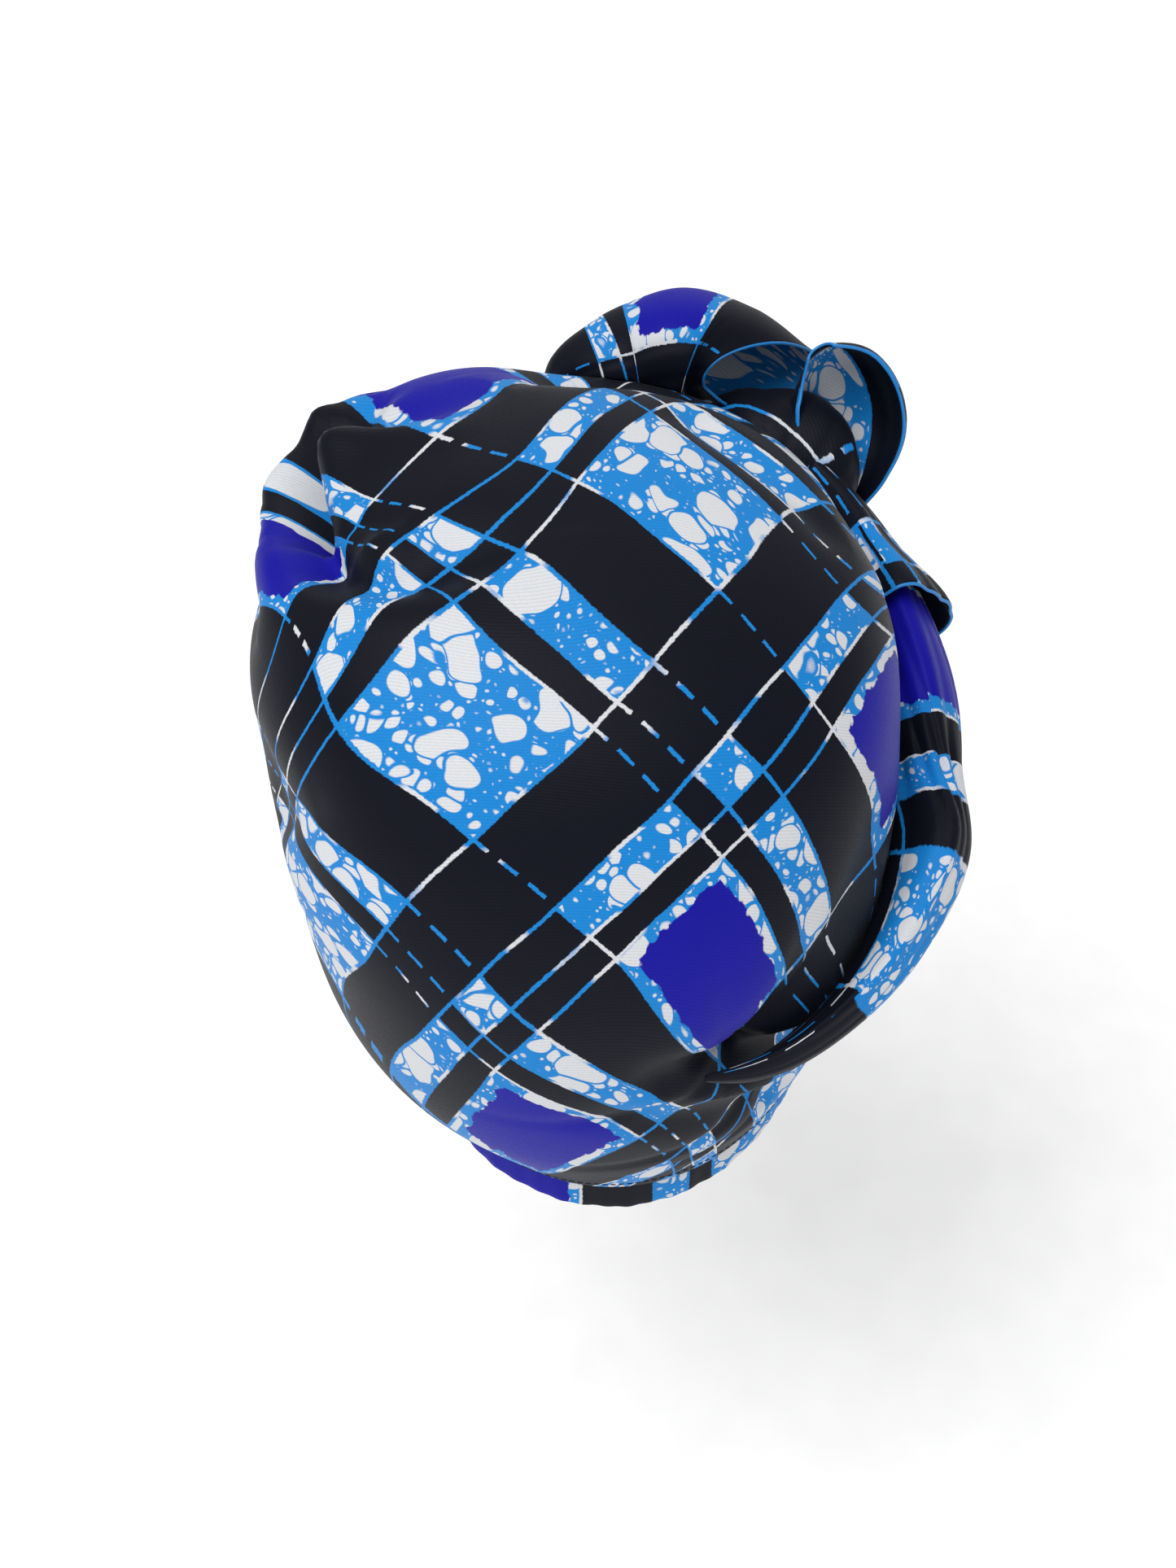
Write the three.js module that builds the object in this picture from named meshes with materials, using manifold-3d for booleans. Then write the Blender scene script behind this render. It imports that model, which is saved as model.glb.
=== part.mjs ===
// A wired head wrap: a full, asymmetric cloth cap with a plain band round its opening.
// A wired tail is wound round the wearer's right side, from a tuck at the nape up to a knot over the brow.
// From the knot stand two open petals, and the tail's loose end lies back over the roll.
// Millimetres, +Z up. The face looks along -Y, so the wearer's left is +X and the nape is at +Y.
// The origin is the middle of the head opening.
import * as THREE from "three";
import { mergeVertices } from "three/addons/utils/BufferGeometryUtils.js";
import Module from "manifold-3d";

const wasm = await Module();
wasm.setup();

// The cloth
const CLOTH = 2.0; // the cap's wall: print cloth and its backing
const BAND_WALL = 2.0; // the band's wall: cloth folded over elastic
const PETAL_WALL = 2.2; // the tail's wall: two layers with a wired edge
const GAP = 0.35; // between pieces that touch

// The head opening
const HEAD_WIDTH = 147; // inside the band, ear to ear
const NAPE_REACH = 80; // inside the band, from the middle to the nape
const BROW_REACH = 96; // inside the band, from the middle to the brow
const HEM_TILT = 18; // degrees that the brow side stands above the nape side
const HEM_RISE = 12.3; // the cap's hem above the middle of the opening
const BAND_DROP = 15; // how far the band shows below the cap's hem
const BAND_TUCK = 9; // how far the band reaches up inside the cap

// The cap
const CROWN_HEIGHT = 220; // from the middle of the opening to the top
const CROWN_WIDTH = 202;
const CROWN_DEPTH = 226; // brow to back
const FOLD_DEPTH = 20; // the deepest fold, which the fold table's shares follow

// The wound tail, its knot, its petals and its loose end
const ROLL_THICKNESS = 29;
const ROLL_WIDTH = 42;
const ROLL_SEAT = 2.5; // how deep the roll's underside would sink into the cap, which it is cut to fit
const KNOT_SIZE = 48;
const TOP_PETAL_LENGTH = 86;
const TOP_PETAL_HEIGHT = 34;
const TOP_PETAL_DEPTH = 46;
const SIDE_PETAL_LENGTH = 68;
const SIDE_PETAL_WIDTH = 40;
const END_FLARE = 6; // how far the tail's loose end stands off the roll

// How finely the forms are cut into faces
const CROWN_TURNS = 68;
const CROWN_ROWS = 22;
const FOLD_STEPS = 10;
const BAND_TURNS = 48;
const ROLL_SIDES = 16;
const ROLL_STEPS = 32;
const END_STEPS = 6; // how many of the roll's steps the loose end covers
const KNOT_ROWS = 12;
const KNOT_SIDES = 24;
const TOP_PETAL_STEPS = 13;
const TOP_PETAL_SIDES = 18;
const SIDE_PETAL_STEPS = 16;
const SIDE_PETAL_SIDES = 12;
const MERGE = 1e-3; // corners closer than this are one
const NUDGE = 1e-3; // the step along a table that gives a direction

// Sections of the cap from hem to top. along runs from 0 at the hem to 1 at the top. rise is a share of
// CROWN_HEIGHT, left and right are shares of half of CROWN_WIDTH and back and front of half of CROWN_DEPTH.
// tilt is in degrees, and square is 2 for an ellipse and more for a boxier ring.
const CROWN_SECTIONS = [
  { along: 0.14, rise: 0.214, left: 0.99, right: 0.85, back: 0.912, front: 0.938, tilt: 14.7, square: 2.1 },
  { along: 0.3, rise: 0.418, left: 1.055, right: 0.9, back: 1.035, front: 0.965, tilt: 10.5, square: 2.2 },
  { along: 0.46, rise: 0.607, left: 1.1, right: 0.9, back: 1.035, front: 0.956, tilt: 7.5, square: 2.35 },
  { along: 0.62, rise: 0.782, left: 1.1, right: 0.832, back: 0.885, front: 0.929, tilt: 5.3, square: 2.45 },
  { along: 0.77, rise: 0.905, left: 0.931, right: 0.584, back: 0.602, front: 0.796, tilt: 3.6, square: 2.3 },
  { along: 0.88, rise: 0.973, left: 0.554, right: 0.238, back: 0.265, front: 0.513, tilt: 2.6, square: 2.15 },
  { along: 0.96, rise: 0.998, left: 0.218, right: -0.03, back: -0.018, front: 0.248, tilt: 2.2, square: 2 },
  { along: 1, rise: 1.002, left: 0.099, right: -0.099, back: -0.124, front: 0.124, tilt: 2, square: 2 },
];

// Folds of the cap. Each runs from one place over a second to a third, given as [turn in degrees, along].
// Turn 0 is the wearer's left and 90 the nape. deep is the depth at the two ends, and wide the half-width
// below and above the line, all as shares of FOLD_DEPTH. A depth under zero stands proud as a rolled edge.
const FOLDS = {
  pocket_top: { from: [-24, 0.735], over: [2, 0.772], to: [26, 0.778], deep: [0.35, 0.95], wide: [0.5, 0.95] },
  pocket_lip: { from: [26, 0.778], over: [46, 0.8], to: [78, 0.866], deep: [0.95, 0.1], wide: [0.45, 0.85] },
  corner_roll: { from: [-38, 0.735], over: [-20, 0.715], to: [2, 0.7], deep: [-0.3, -0.2], wide: [0.7, 0.5] },
  lip_roll: { from: [10, 0.71], over: [34, 0.74], to: [60, 0.79], deep: [-0.22, -0.05], wide: [0.9, 0.5] },
  top_valley: { from: [-34, 0.78], over: [-20, 0.83], to: [-38, 0.885], deep: [0.3, 0.15], wide: [0.6, 0.5] },
  top_ridge: { from: [-14, 0.79], over: [-8, 0.837], to: [-3, 0.887], deep: [-0.25, -0.1], wide: [0.5, 0.5] },
  knot_hollow: { from: [262, 0.84], over: [222, 0.77], to: [196, 0.62], deep: [0.6, 0.35], wide: [1.3, 1.1] },
  edge_pleat: { from: [196, 0.868], over: [180, 0.83], to: [170, 0.75], deep: [0.2, 0.12], wide: [0.45, 0.45] },
  nape_tuck: { from: [104, 0.292], over: [112, 0.285], to: [121, 0.262], deep: [0.2, 0.6], wide: [0.45, 0.5] },
  tuck_upper: { from: [119, 0.262], over: [130, 0.23], to: [146, 0.17], deep: [0.6, 0.45], wide: [0.45, 0.5] },
  tuck_rise: { from: [121, 0.3], over: [134, 0.37], to: [146, 0.46], deep: [0.4, 0.12], wide: [0.7, 0.6] },
  tuck_lower: { from: [90, 0.232], over: [108, 0.21], to: [130, 0.13], deep: [0.05, 0.3], wide: [0.45, 0.45] },
  side_pinch: { from: [28, 0.49], over: [37, 0.52], to: [44, 0.55], deep: [0.25, 0.1], wide: [0.9, 0.9] },
};
const HEM_CALM = 0.09; // the folds die out in this share of the cap above its hem

// The wound tail from the nape to the knot, by its turn and its height along the cap. width and thick are
// shares of ROLL_WIDTH and ROLL_THICKNESS, and twist turns the section, in degrees.
const ROLL_STATIONS = [
  { along: 0, turn: 111, height: 0.275, width: 0.2, thick: 0.14, twist: 0 },
  { along: 0.12, turn: 124, height: 0.262, width: 0.36, thick: 0.26, twist: 6 },
  { along: 0.25, turn: 138, height: 0.27, width: 0.54, thick: 0.46, twist: 14 },
  { along: 0.38, turn: 152, height: 0.292, width: 0.76, thick: 0.72, twist: 20 },
  { along: 0.5, turn: 166, height: 0.32, width: 0.96, thick: 0.94, twist: 24 },
  { along: 0.6, turn: 177, height: 0.352, width: 0.78, thick: 0.9, twist: 10 },
  { along: 0.72, turn: 190, height: 0.395, width: 0.98, thick: 0.9, twist: -6 },
  { along: 0.86, turn: 206, height: 0.445, width: 0.96, thick: 0.8, twist: -14 },
  { along: 1, turn: 226, height: 0.51, width: 0.8, thick: 0.7, twist: -20 },
];
const ROLL_PLEATS = { count: 4, depth: 0.07 }; // depth is a share of the section

// The knot: its place on the cap, proud by a share of KNOT_SIZE, its shape as shares of KNOT_SIZE, and the
// turns of the tail that show round it.
const KNOT_PLACE = { turn: 233, height: 0.515, proud: 0.23 };
const KNOT_SHAPE = { across: 1.35, upward: 1.3, outward: 0.92 };
const KNOT_WINDINGS = { count: 3, depth: 0.06, pitch: 3 };

// The top petal, a pod that is closed at its left end and opens towards the knot. Its place is proud of the
// cap by a share of its height. across, back, up, slant and lip are shares of TOP_PETAL_LENGTH: slant is how
// far the front edge runs ahead of the back edge, and lip how far the lower edge runs on. tall and deep are
// shares of its height and depth, and pinch is the share that the crease over its back takes off.
const TOP_PETAL_PLACE = { turn: 267, height: 0.67, proud: 0.38 };
const TOP_PETAL_RINGS = [
  { along: 0, across: -0.16, back: 0.1, up: -0.16, tall: 0.1, deep: 0.1, slant: 0, lip: 0, pinch: 0 },
  { along: 0.12, across: -0.06, back: 0.06, up: -0.06, tall: 0.5, deep: 0.42, slant: 0, lip: 0, pinch: 0.04 },
  { along: 0.27, across: 0.08, back: 0.03, up: 0, tall: 0.78, deep: 0.76, slant: 0, lip: 0, pinch: 0.16 },
  { along: 0.42, across: 0.22, back: 0, up: 0.03, tall: 0.86, deep: 0.9, slant: 0.02, lip: 0, pinch: 0.02 },
  { along: 0.6, across: 0.4, back: 0, up: 0.06, tall: 1, deep: 1, slant: 0.06, lip: 0, pinch: 0 },
  { along: 0.8, across: 0.58, back: 0, up: 0.01, tall: 0.98, deep: 1, slant: 0.14, lip: 0.05, pinch: 0 },
  { along: 1, across: 0.74, back: 0.04, up: -0.07, tall: 0.86, deep: 0.9, slant: 0.22, lip: 0.15, pinch: 0 },
];
const LIP_TURN = -60; // degrees round the mouth from its front where the lower edge runs on most
const PETAL_ROOT_RINGS = 2; // how many rings at the closed end are solid cloth

// The side petal, a cupped leaf that stands on the knot. Its place is in shares of half of KNOT_SIZE from the
// knot's middle. out, forward and up are shares of SIDE_PETAL_LENGTH, and wide is a share of its width. cup is
// the angle that its section closes round and curl how far the section is turned, both in degrees.
const SIDE_PETAL_PLACE = { across: -0.92, upward: -0.3, outward: 0.08 };
const SIDE_PETAL_OPENS = { left: 0.35, back: 1, up: 0.25 };
const SIDE_PETAL_ROWS = [
  { along: 0, out: 0.04, forward: 0, up: -0.06, wide: 0.34, cup: 150, curl: 0 },
  { along: 0.25, out: 0.07, forward: 0.04, up: 0.17, wide: 0.76, cup: 190, curl: 14 },
  { along: 0.5, out: 0.07, forward: 0.08, up: 0.4, wide: 1, cup: 210, curl: 24 },
  { along: 0.75, out: 0, forward: 0.1, up: 0.63, wide: 0.86, cup: 200, curl: 24 },
  { along: 1, out: -0.1, forward: 0.08, up: 0.8, wide: 0.28, cup: 150, curl: 10 },
];

const radians = THREE.MathUtils.degToRad;
const UP = new THREE.Vector3(0, 0, 1);
const countTo = (count) => Array.from({ length: count }, (_, i) => i);
const roundTo = (count) => countTo(count).map((j) => (2 * Math.PI * j) / count);

// One column of a table at a place between its rows, on a smooth curve through them.
function columnAt(rows, column, along) {
  const last = rows.length - 1;
  const place = THREE.MathUtils.clamp(along, rows[0].along, rows[last].along);
  let i = 0;
  while (i < last - 1 && place >= rows[i + 1].along) i += 1;
  const slope = (k) => {
    const [a, b] = [rows[Math.max(k - 1, 0)], rows[Math.min(k + 1, last)]];
    return (b[column] - a[column]) / (b.along - a.along);
  };
  const step = rows[i + 1].along - rows[i].along;
  const s = (place - rows[i].along) / step;
  const [s2, s3] = [s * s, s * s * s];
  return (
    (2 * s3 - 3 * s2 + 1) * rows[i][column] +
    (s3 - 2 * s2 + s) * step * slope(i) +
    (3 * s2 - 2 * s3) * rows[i + 1][column] +
    (s3 - s2) * step * slope(i + 1)
  );
}

const hemAllowance = BAND_WALL + GAP + CLOTH;
const crownRows = [
  {
    along: 0,
    rise: HEM_RISE,
    left: HEAD_WIDTH / 2 + hemAllowance,
    right: HEAD_WIDTH / 2 + hemAllowance,
    back: NAPE_REACH + hemAllowance,
    front: BROW_REACH + hemAllowance,
    tilt: HEM_TILT,
    square: 2,
  },
  ...CROWN_SECTIONS.map((row) => ({
    ...row,
    rise: row.rise * CROWN_HEIGHT,
    left: (row.left * CROWN_WIDTH) / 2,
    right: (row.right * CROWN_WIDTH) / 2,
    back: (row.back * CROWN_DEPTH) / 2,
    front: (row.front * CROWN_DEPTH) / 2,
  })),
];

// A point of a ring. shrink takes the ring in on all sides, and lift raises it.
function ringPoint(row, turn, shrink = 0, lift = 0) {
  const [c, s] = [Math.cos(turn), Math.sin(turn)];
  const round = (Math.abs(c) ** row.square + Math.abs(s) ** row.square) ** (-1 / row.square);
  const x = (row.left - row.right) / 2 + ((row.left + row.right) / 2 - shrink) * c * round;
  const y = (row.back - row.front) / 2 + ((row.back + row.front) / 2 - shrink) * s * round;
  return new THREE.Vector3(x, y, row.rise + lift - y * Math.tan(radians(row.tilt)));
}

const RING_COLUMNS = ["rise", "left", "right", "back", "front", "tilt", "square"];

function crownRow(along) {
  return Object.fromEntries(RING_COLUMNS.map((column) => [column, columnAt(crownRows, column, along)]));
}

function crownBase(turn, along) {
  return ringPoint(crownRow(along), turn);
}

function crownNormal(turn, along) {
  const place = Math.min(along, 1 - 2 * NUDGE);
  const aside = crownBase(turn + NUDGE, place).sub(crownBase(turn - NUDGE, place));
  const upward = crownBase(turn, place + NUDGE).sub(crownBase(turn, Math.max(place - NUDGE, 0)));
  return aside.cross(upward).normalize();
}

// Each fold's line as points on the cap, on a bend through its middle.
const foldLines = Object.values(FOLDS).map(({ from, over, to, deep, wide }) => {
  const along = (s, k) => {
    const bend = 2 * over[k] - (from[k] + to[k]) / 2;
    return (1 - s) ** 2 * from[k] + 2 * s * (1 - s) * bend + s ** 2 * to[k];
  };
  const points = countTo(FOLD_STEPS + 1).map((i) => {
    const s = i / FOLD_STEPS;
    const place = along(s, 1);
    return { at: crownBase(radians(along(s, 0)), place), along: place, deep: THREE.MathUtils.lerp(...deep, s) };
  });
  return { points, wide };
});

// The place on a fold's line that is nearest to a point.
function nearestOn(points, point) {
  const line = new THREE.Line3();
  const foot = new THREE.Vector3();
  let best = { gap: Infinity };
  for (let i = 0; i < points.length - 1; i += 1) {
    const [a, b] = [points[i], points[i + 1]];
    line.set(a.at, b.at);
    const s = line.closestPointToPointParameter(point, true);
    const gap = line.at(s, foot).distanceTo(point);
    if (gap < best.gap) {
      const between = (column) => THREE.MathUtils.lerp(a[column], b[column], s);
      best = { gap, deep: between("deep"), along: between("along") };
    }
  }
  return best;
}

// How far the folds move the cap's skin out at a point. The deepest valley and the highest ridge count.
function foldShift(point, along) {
  let [valley, ridge] = [0, 0];
  foldLines.forEach(({ points, wide: [below, above] }) => {
    const near = nearestOn(points, point);
    const width = FOLD_DEPTH * (along < near.along ? below : above);
    const depth = FOLD_DEPTH * near.deep * Math.exp(-((near.gap / width) ** 2));
    valley = Math.max(valley, depth);
    ridge = Math.min(ridge, depth);
  });
  return -(valley + ridge) * THREE.MathUtils.smoothstep(along, 0, HEM_CALM);
}

// A point of the cap's outside with its folds. proud moves it out, or in if it is below zero.
function crownSkin(turn, along, proud = 0) {
  const base = crownBase(turn, along);
  return base.clone().addScaledVector(crownNormal(turn, along), foldShift(base, along) + proud);
}

// A closed surface from quads and triangles of points.
class Surface {
  constructor() {
    this.corners = [];
  }

  triangle(a, b, c) {
    this.corners.push(a.x, a.y, a.z, b.x, b.y, b.z, c.x, c.y, c.z);
  }

  quad(a, b, c, d) {
    this.triangle(a, b, c);
    this.triangle(a, c, d);
  }

  // Rows of points that close round, each row joined to the next.
  rings(rows) {
    for (let i = 0; i < rows.length - 1; i += 1) {
      rows[i].forEach((point, j) => {
        const next = (j + 1) % rows[i].length;
        const [a, b, c, d] = [point, rows[i][next], rows[i + 1][next], rows[i + 1][j]];
        if (a.distanceTo(c) < b.distanceTo(d)) this.quad(a, b, c, d);
        else this.quad(b, c, d, a);
      });
    }
  }

  // A fan from a ring to a point beyond it.
  fan(ring, tip) {
    ring.forEach((point, j) => this.triangle(point, ring[(j + 1) % ring.length], tip));
  }

  geometry() {
    const made = new THREE.BufferGeometry();
    made.setAttribute("position", new THREE.Float32BufferAttribute(this.corners, 3));
    return made;
  }
}

function solidOf(geometry) {
  const merged = mergeVertices(geometry, MERGE);
  return new wasm.Manifold(
    new wasm.Mesh({
      numProp: 3,
      vertProperties: merged.attributes.position.array,
      triVerts: new Uint32Array(merged.index.array),
    }),
  );
}

// The main body of a solid as a geometry, without the slivers that a cut can leave.
function geometryOf(solid) {
  const body = solid.decompose().reduce((most, next) => (next.volume() > most.volume() ? next : most));
  const cut = body.getMesh();
  const made = new THREE.BufferGeometry();
  made.setAttribute("position", new THREE.BufferAttribute(new Float32Array(cut.vertProperties), 3));
  made.setIndex(new THREE.BufferAttribute(new Uint32Array(cut.triVerts), 1));
  return made;
}

function crownRings(proud) {
  const heights = countTo(CROWN_ROWS).map((i) => i / CROWN_ROWS);
  return heights.map((along) => roundTo(CROWN_TURNS).map((turn) => crownSkin(turn, along, proud)));
}

// The cap: an outer and an inner skin joined round the hem.
function crownShell() {
  const [outside, inside] = [crownRings(0), crownRings(-CLOTH)];
  const surface = new Surface();
  surface.rings(outside);
  surface.fan(outside.at(-1), crownSkin(0, 1));
  surface.rings([outside[0], inside[0]].map((ring) => ring.toReversed()));
  surface.rings(inside.map((ring) => ring.toReversed()));
  surface.fan(inside.at(-1).toReversed(), crownSkin(0, 1, -CLOTH));
  return surface.geometry();
}

// The cap filled in and a gap larger, which shapes whatever rests on it.
function crownClearance() {
  const outside = crownRings(GAP);
  const surface = new Surface();
  surface.rings(outside);
  surface.fan(outside.at(-1), crownSkin(0, 1, GAP));
  surface.fan(outside[0].toReversed(), new THREE.Vector3(0, 0, HEM_RISE));
  return solidOf(surface.geometry());
}

// The band round the opening, tucked up inside the hem, with soft edges.
function hemBand() {
  const edge = BAND_WALL / 4;
  const section = [
    [CLOTH + GAP, -BAND_DROP + edge],
    [CLOTH + GAP, BAND_TUCK - edge],
    [CLOTH + GAP + edge, BAND_TUCK],
    [CLOTH + GAP + BAND_WALL - edge, BAND_TUCK],
    [CLOTH + GAP + BAND_WALL, BAND_TUCK - edge],
    [CLOTH + GAP + BAND_WALL, -BAND_DROP + edge],
    [CLOTH + GAP + BAND_WALL - edge, -BAND_DROP],
    [CLOTH + GAP + edge, -BAND_DROP],
  ];
  const rings = [...section, section[0]].map(([shrink, lift]) =>
    roundTo(BAND_TURNS).map((turn) => ringPoint(crownRows[0], turn, shrink, lift)),
  );
  const surface = new Surface();
  surface.rings(rings);
  return surface.geometry();
}

// A place on the roll's middle line.
function rollMiddle(s) {
  const turn = radians(columnAt(ROLL_STATIONS, "turn", s));
  const height = columnAt(ROLL_STATIONS, "height", s);
  const proud = (columnAt(ROLL_STATIONS, "thick", s) * ROLL_THICKNESS) / 2 - ROLL_SEAT;
  return crownBase(turn, height).addScaledVector(crownNormal(turn, height), proud);
}

// One section of the roll, grown on all sides.
function rollRing(s, grow) {
  const out = crownNormal(radians(columnAt(ROLL_STATIONS, "turn", s)), columnAt(ROLL_STATIONS, "height", s));
  const ahead = rollMiddle(Math.min(s + NUDGE, 1)).sub(rollMiddle(Math.max(s - NUDGE, 0))).normalize();
  const across = out.clone().cross(ahead).normalize();
  const lift = ahead.clone().cross(across);
  const twist = radians(columnAt(ROLL_STATIONS, "twist", s));
  const wide = (columnAt(ROLL_STATIONS, "width", s) * ROLL_WIDTH) / 2 + grow;
  const thick = (columnAt(ROLL_STATIONS, "thick", s) * ROLL_THICKNESS) / 2 + grow;
  return roundTo(ROLL_SIDES).map((angle) => {
    const pleat = 1 + ROLL_PLEATS.depth * Math.cos(ROLL_PLEATS.count * angle + 2 * twist);
    const [a, b] = [Math.cos(angle) * wide * pleat, Math.sin(angle) * thick * pleat];
    return rollMiddle(s)
      .addScaledVector(across, a * Math.cos(twist) - b * Math.sin(twist))
      .addScaledVector(lift, a * Math.sin(twist) + b * Math.cos(twist));
  });
}

// The roll from one of its steps on, grown by an amount that can change along it.
function sideRoll(grow = () => 0, firstStep = 0) {
  const places = countTo(ROLL_STEPS + 1).slice(firstStep).map((i) => i / ROLL_STEPS);
  const rings = places.map((s) => rollRing(s, grow(s)));
  const surface = new Surface();
  surface.rings(rings);
  surface.fan(rings[0].toReversed(), rollMiddle(places[0]));
  surface.fan(rings.at(-1), rollMiddle(1));
  return solidOf(surface.geometry());
}

// The loose end is a sleeve over the roll's last steps, which flares to an open mouth at its lower end.
const endStep = ROLL_STEPS - END_STEPS;
const endFrom = endStep / ROLL_STEPS;
const endStandsOff = (s) => GAP + END_FLARE * (1 - THREE.MathUtils.smoothstep(s, endFrom, (endFrom + 1) / 2));

function tailEndFilled(grow = 0) {
  return sideRoll((s) => endStandsOff(s) + PETAL_WALL + grow, endStep);
}

// A point off the cap's skin.
function placeOn({ turn, height, proud }) {
  return crownBase(radians(turn), height).addScaledVector(crownNormal(radians(turn), height), proud);
}

// The knot's middle and its three directions.
function knotFrame() {
  const out = crownNormal(radians(KNOT_PLACE.turn), KNOT_PLACE.height);
  const across = UP.clone().cross(out).normalize();
  const upward = out.clone().cross(across);
  return { centre: placeOn({ ...KNOT_PLACE, proud: KNOT_PLACE.proud * KNOT_SIZE }), across, upward, out };
}

// The knot: a lump with the turns of the tail wound round it.
function knot(grow = 0) {
  const { centre, across, upward, out } = knotFrame();
  const ring = (i) =>
    roundTo(KNOT_SIDES).map((angle) => {
      const polar = (Math.PI * i) / KNOT_ROWS;
      const winding = Math.sin(polar) * Math.cos(KNOT_WINDINGS.count * angle + KNOT_WINDINGS.pitch * polar);
      const size = (KNOT_SIZE / 2) * (1 + KNOT_WINDINGS.depth * winding) + grow;
      return centre
        .clone()
        .addScaledVector(across, Math.sin(polar) * Math.cos(angle) * size * KNOT_SHAPE.across)
        .addScaledVector(upward, Math.sin(polar) * Math.sin(angle) * size * KNOT_SHAPE.upward)
        .addScaledVector(out, -Math.cos(polar) * size * KNOT_SHAPE.outward);
    });
  const surface = new Surface();
  const rings = countTo(KNOT_ROWS - 1).map((i) => ring(i + 1));
  surface.rings(rings);
  surface.fan(rings[0].toReversed(), ring(0)[0]);
  surface.fan(rings.at(-1), ring(KNOT_ROWS)[0]);
  return solidOf(surface.geometry());
}

// The top petal's middle line.
function topPetalMiddle(s) {
  const [across, back, up] = ["across", "back", "up"].map(
    (column) => columnAt(TOP_PETAL_RINGS, column, s) * TOP_PETAL_LENGTH,
  );
  const root = placeOn({ ...TOP_PETAL_PLACE, proud: TOP_PETAL_PLACE.proud * TOP_PETAL_HEIGHT });
  return root.add(new THREE.Vector3(-across, back, up));
}

// One ring of the top petal, taken in by a wall.
function topPetalRing(s, wall) {
  const at = (column) => columnAt(TOP_PETAL_RINGS, column, s);
  const ahead = topPetalMiddle(Math.min(s + NUDGE, 1)).sub(topPetalMiddle(Math.max(s - NUDGE, 0))).normalize();
  const forward = UP.clone().cross(ahead).normalize();
  const upward = ahead.clone().cross(forward);
  const tall = Math.max((at("tall") * TOP_PETAL_HEIGHT) / 2 - wall, wall / 2);
  const deep = Math.max((at("deep") * TOP_PETAL_DEPTH) / 2 - wall, wall / 2);
  return roundTo(TOP_PETAL_SIDES).map((angle) => {
    const left = 1 - at("pinch") * Math.max(Math.sin(angle), 0);
    const ranOn = at("slant") * Math.cos(angle) + at("lip") * Math.max(Math.cos(angle - radians(LIP_TURN)), 0);
    return topPetalMiddle(s)
      .addScaledVector(forward, Math.cos(angle) * deep * left)
      .addScaledVector(upward, Math.sin(angle) * tall * left)
      .addScaledVector(ahead, ranOn * TOP_PETAL_LENGTH);
  });
}

// The top petal: a tube of cloth, closed at its left end and open at its mouth.
function topPetal() {
  const places = countTo(TOP_PETAL_STEPS + 1).map((i) => i / TOP_PETAL_STEPS);
  const hollowPlaces = places.slice(PETAL_ROOT_RINGS);
  const outside = places.map((s) => topPetalRing(s, 0));
  const inside = hollowPlaces.map((s) => topPetalRing(s, PETAL_WALL));
  const surface = new Surface();
  surface.fan(outside[0].toReversed(), topPetalMiddle(0));
  surface.rings(outside);
  surface.rings([outside.at(-1), inside.at(-1)]);
  surface.rings(inside.toReversed());
  surface.fan(inside[0], topPetalMiddle(hollowPlaces[0]));
  return solidOf(surface.geometry());
}

// A strip of cloth from a grid of points and the directions that its face looks.
function clothStrip(grid, facing, wall) {
  const shift = (side) =>
    grid.map((row, i) => row.map((point, j) => point.clone().addScaledVector(facing[i][j], (side * wall) / 2)));
  const [front, back] = [shift(1), shift(-1)];
  const surface = new Surface();
  // Each row of both faces makes one closed ring, so the strip is a flat tube with two end caps.
  const rings = front.map((row, i) => [...row.toReversed(), ...back[i]]);
  surface.rings(rings);
  [0, rings.length - 1].forEach((end) => {
    for (let j = 0; j < front[end].length - 1; j += 1) {
      const [a, b, c, d] = [front[end][j], front[end][j + 1], back[end][j + 1], back[end][j]];
      if (end) surface.quad(d, c, b, a);
      else surface.quad(a, b, c, d);
    }
  });
  return solidOf(surface.geometry());
}

// The side petal's middle line.
function sidePetalMiddle(s) {
  const { centre, across, upward, out } = knotFrame();
  const half = KNOT_SIZE / 2;
  const [outwards, forward, up] = ["out", "forward", "up"].map(
    (column) => columnAt(SIDE_PETAL_ROWS, column, s) * SIDE_PETAL_LENGTH,
  );
  return centre
    .addScaledVector(across, SIDE_PETAL_PLACE.across * half)
    .addScaledVector(upward, SIDE_PETAL_PLACE.upward * half)
    .addScaledVector(out, SIDE_PETAL_PLACE.outward * half)
    .add(new THREE.Vector3(-outwards, -forward, up));
}

// The side petal: a leaf whose section is an arc, open towards the back.
function sidePetal() {
  const { left, back, up } = SIDE_PETAL_OPENS;
  const opens = new THREE.Vector3(left, back, up).normalize();
  const places = countTo(SIDE_PETAL_STEPS + 1).map((i) => i / SIDE_PETAL_STEPS);
  const facing = places.map((s) => {
    const before = sidePetalMiddle(Math.max(s - NUDGE, 0));
    const ahead = sidePetalMiddle(Math.min(s + NUDGE, 1)).sub(before).normalize();
    const across = ahead.clone().cross(opens).normalize();
    const hollow = across.clone().cross(ahead);
    const [cup, curl] = ["cup", "curl"].map((column) => radians(columnAt(SIDE_PETAL_ROWS, column, s)));
    return countTo(SIDE_PETAL_SIDES + 1).map((j) => {
      const angle = cup * (j / SIDE_PETAL_SIDES - 1 / 2) - curl;
      return across.clone().multiplyScalar(Math.sin(angle)).addScaledVector(hollow, -Math.cos(angle));
    });
  });
  const grid = places.map((s, i) => {
    const radius = (columnAt(SIDE_PETAL_ROWS, "wide", s) * SIDE_PETAL_WIDTH) / 2;
    return facing[i].map((face) => sidePetalMiddle(s).addScaledVector(face, radius));
  });
  return clothStrip(grid, facing, PETAL_WALL);
}

const wrap = new THREE.Group();
wrap.name = "wired_head_wrap";

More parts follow.
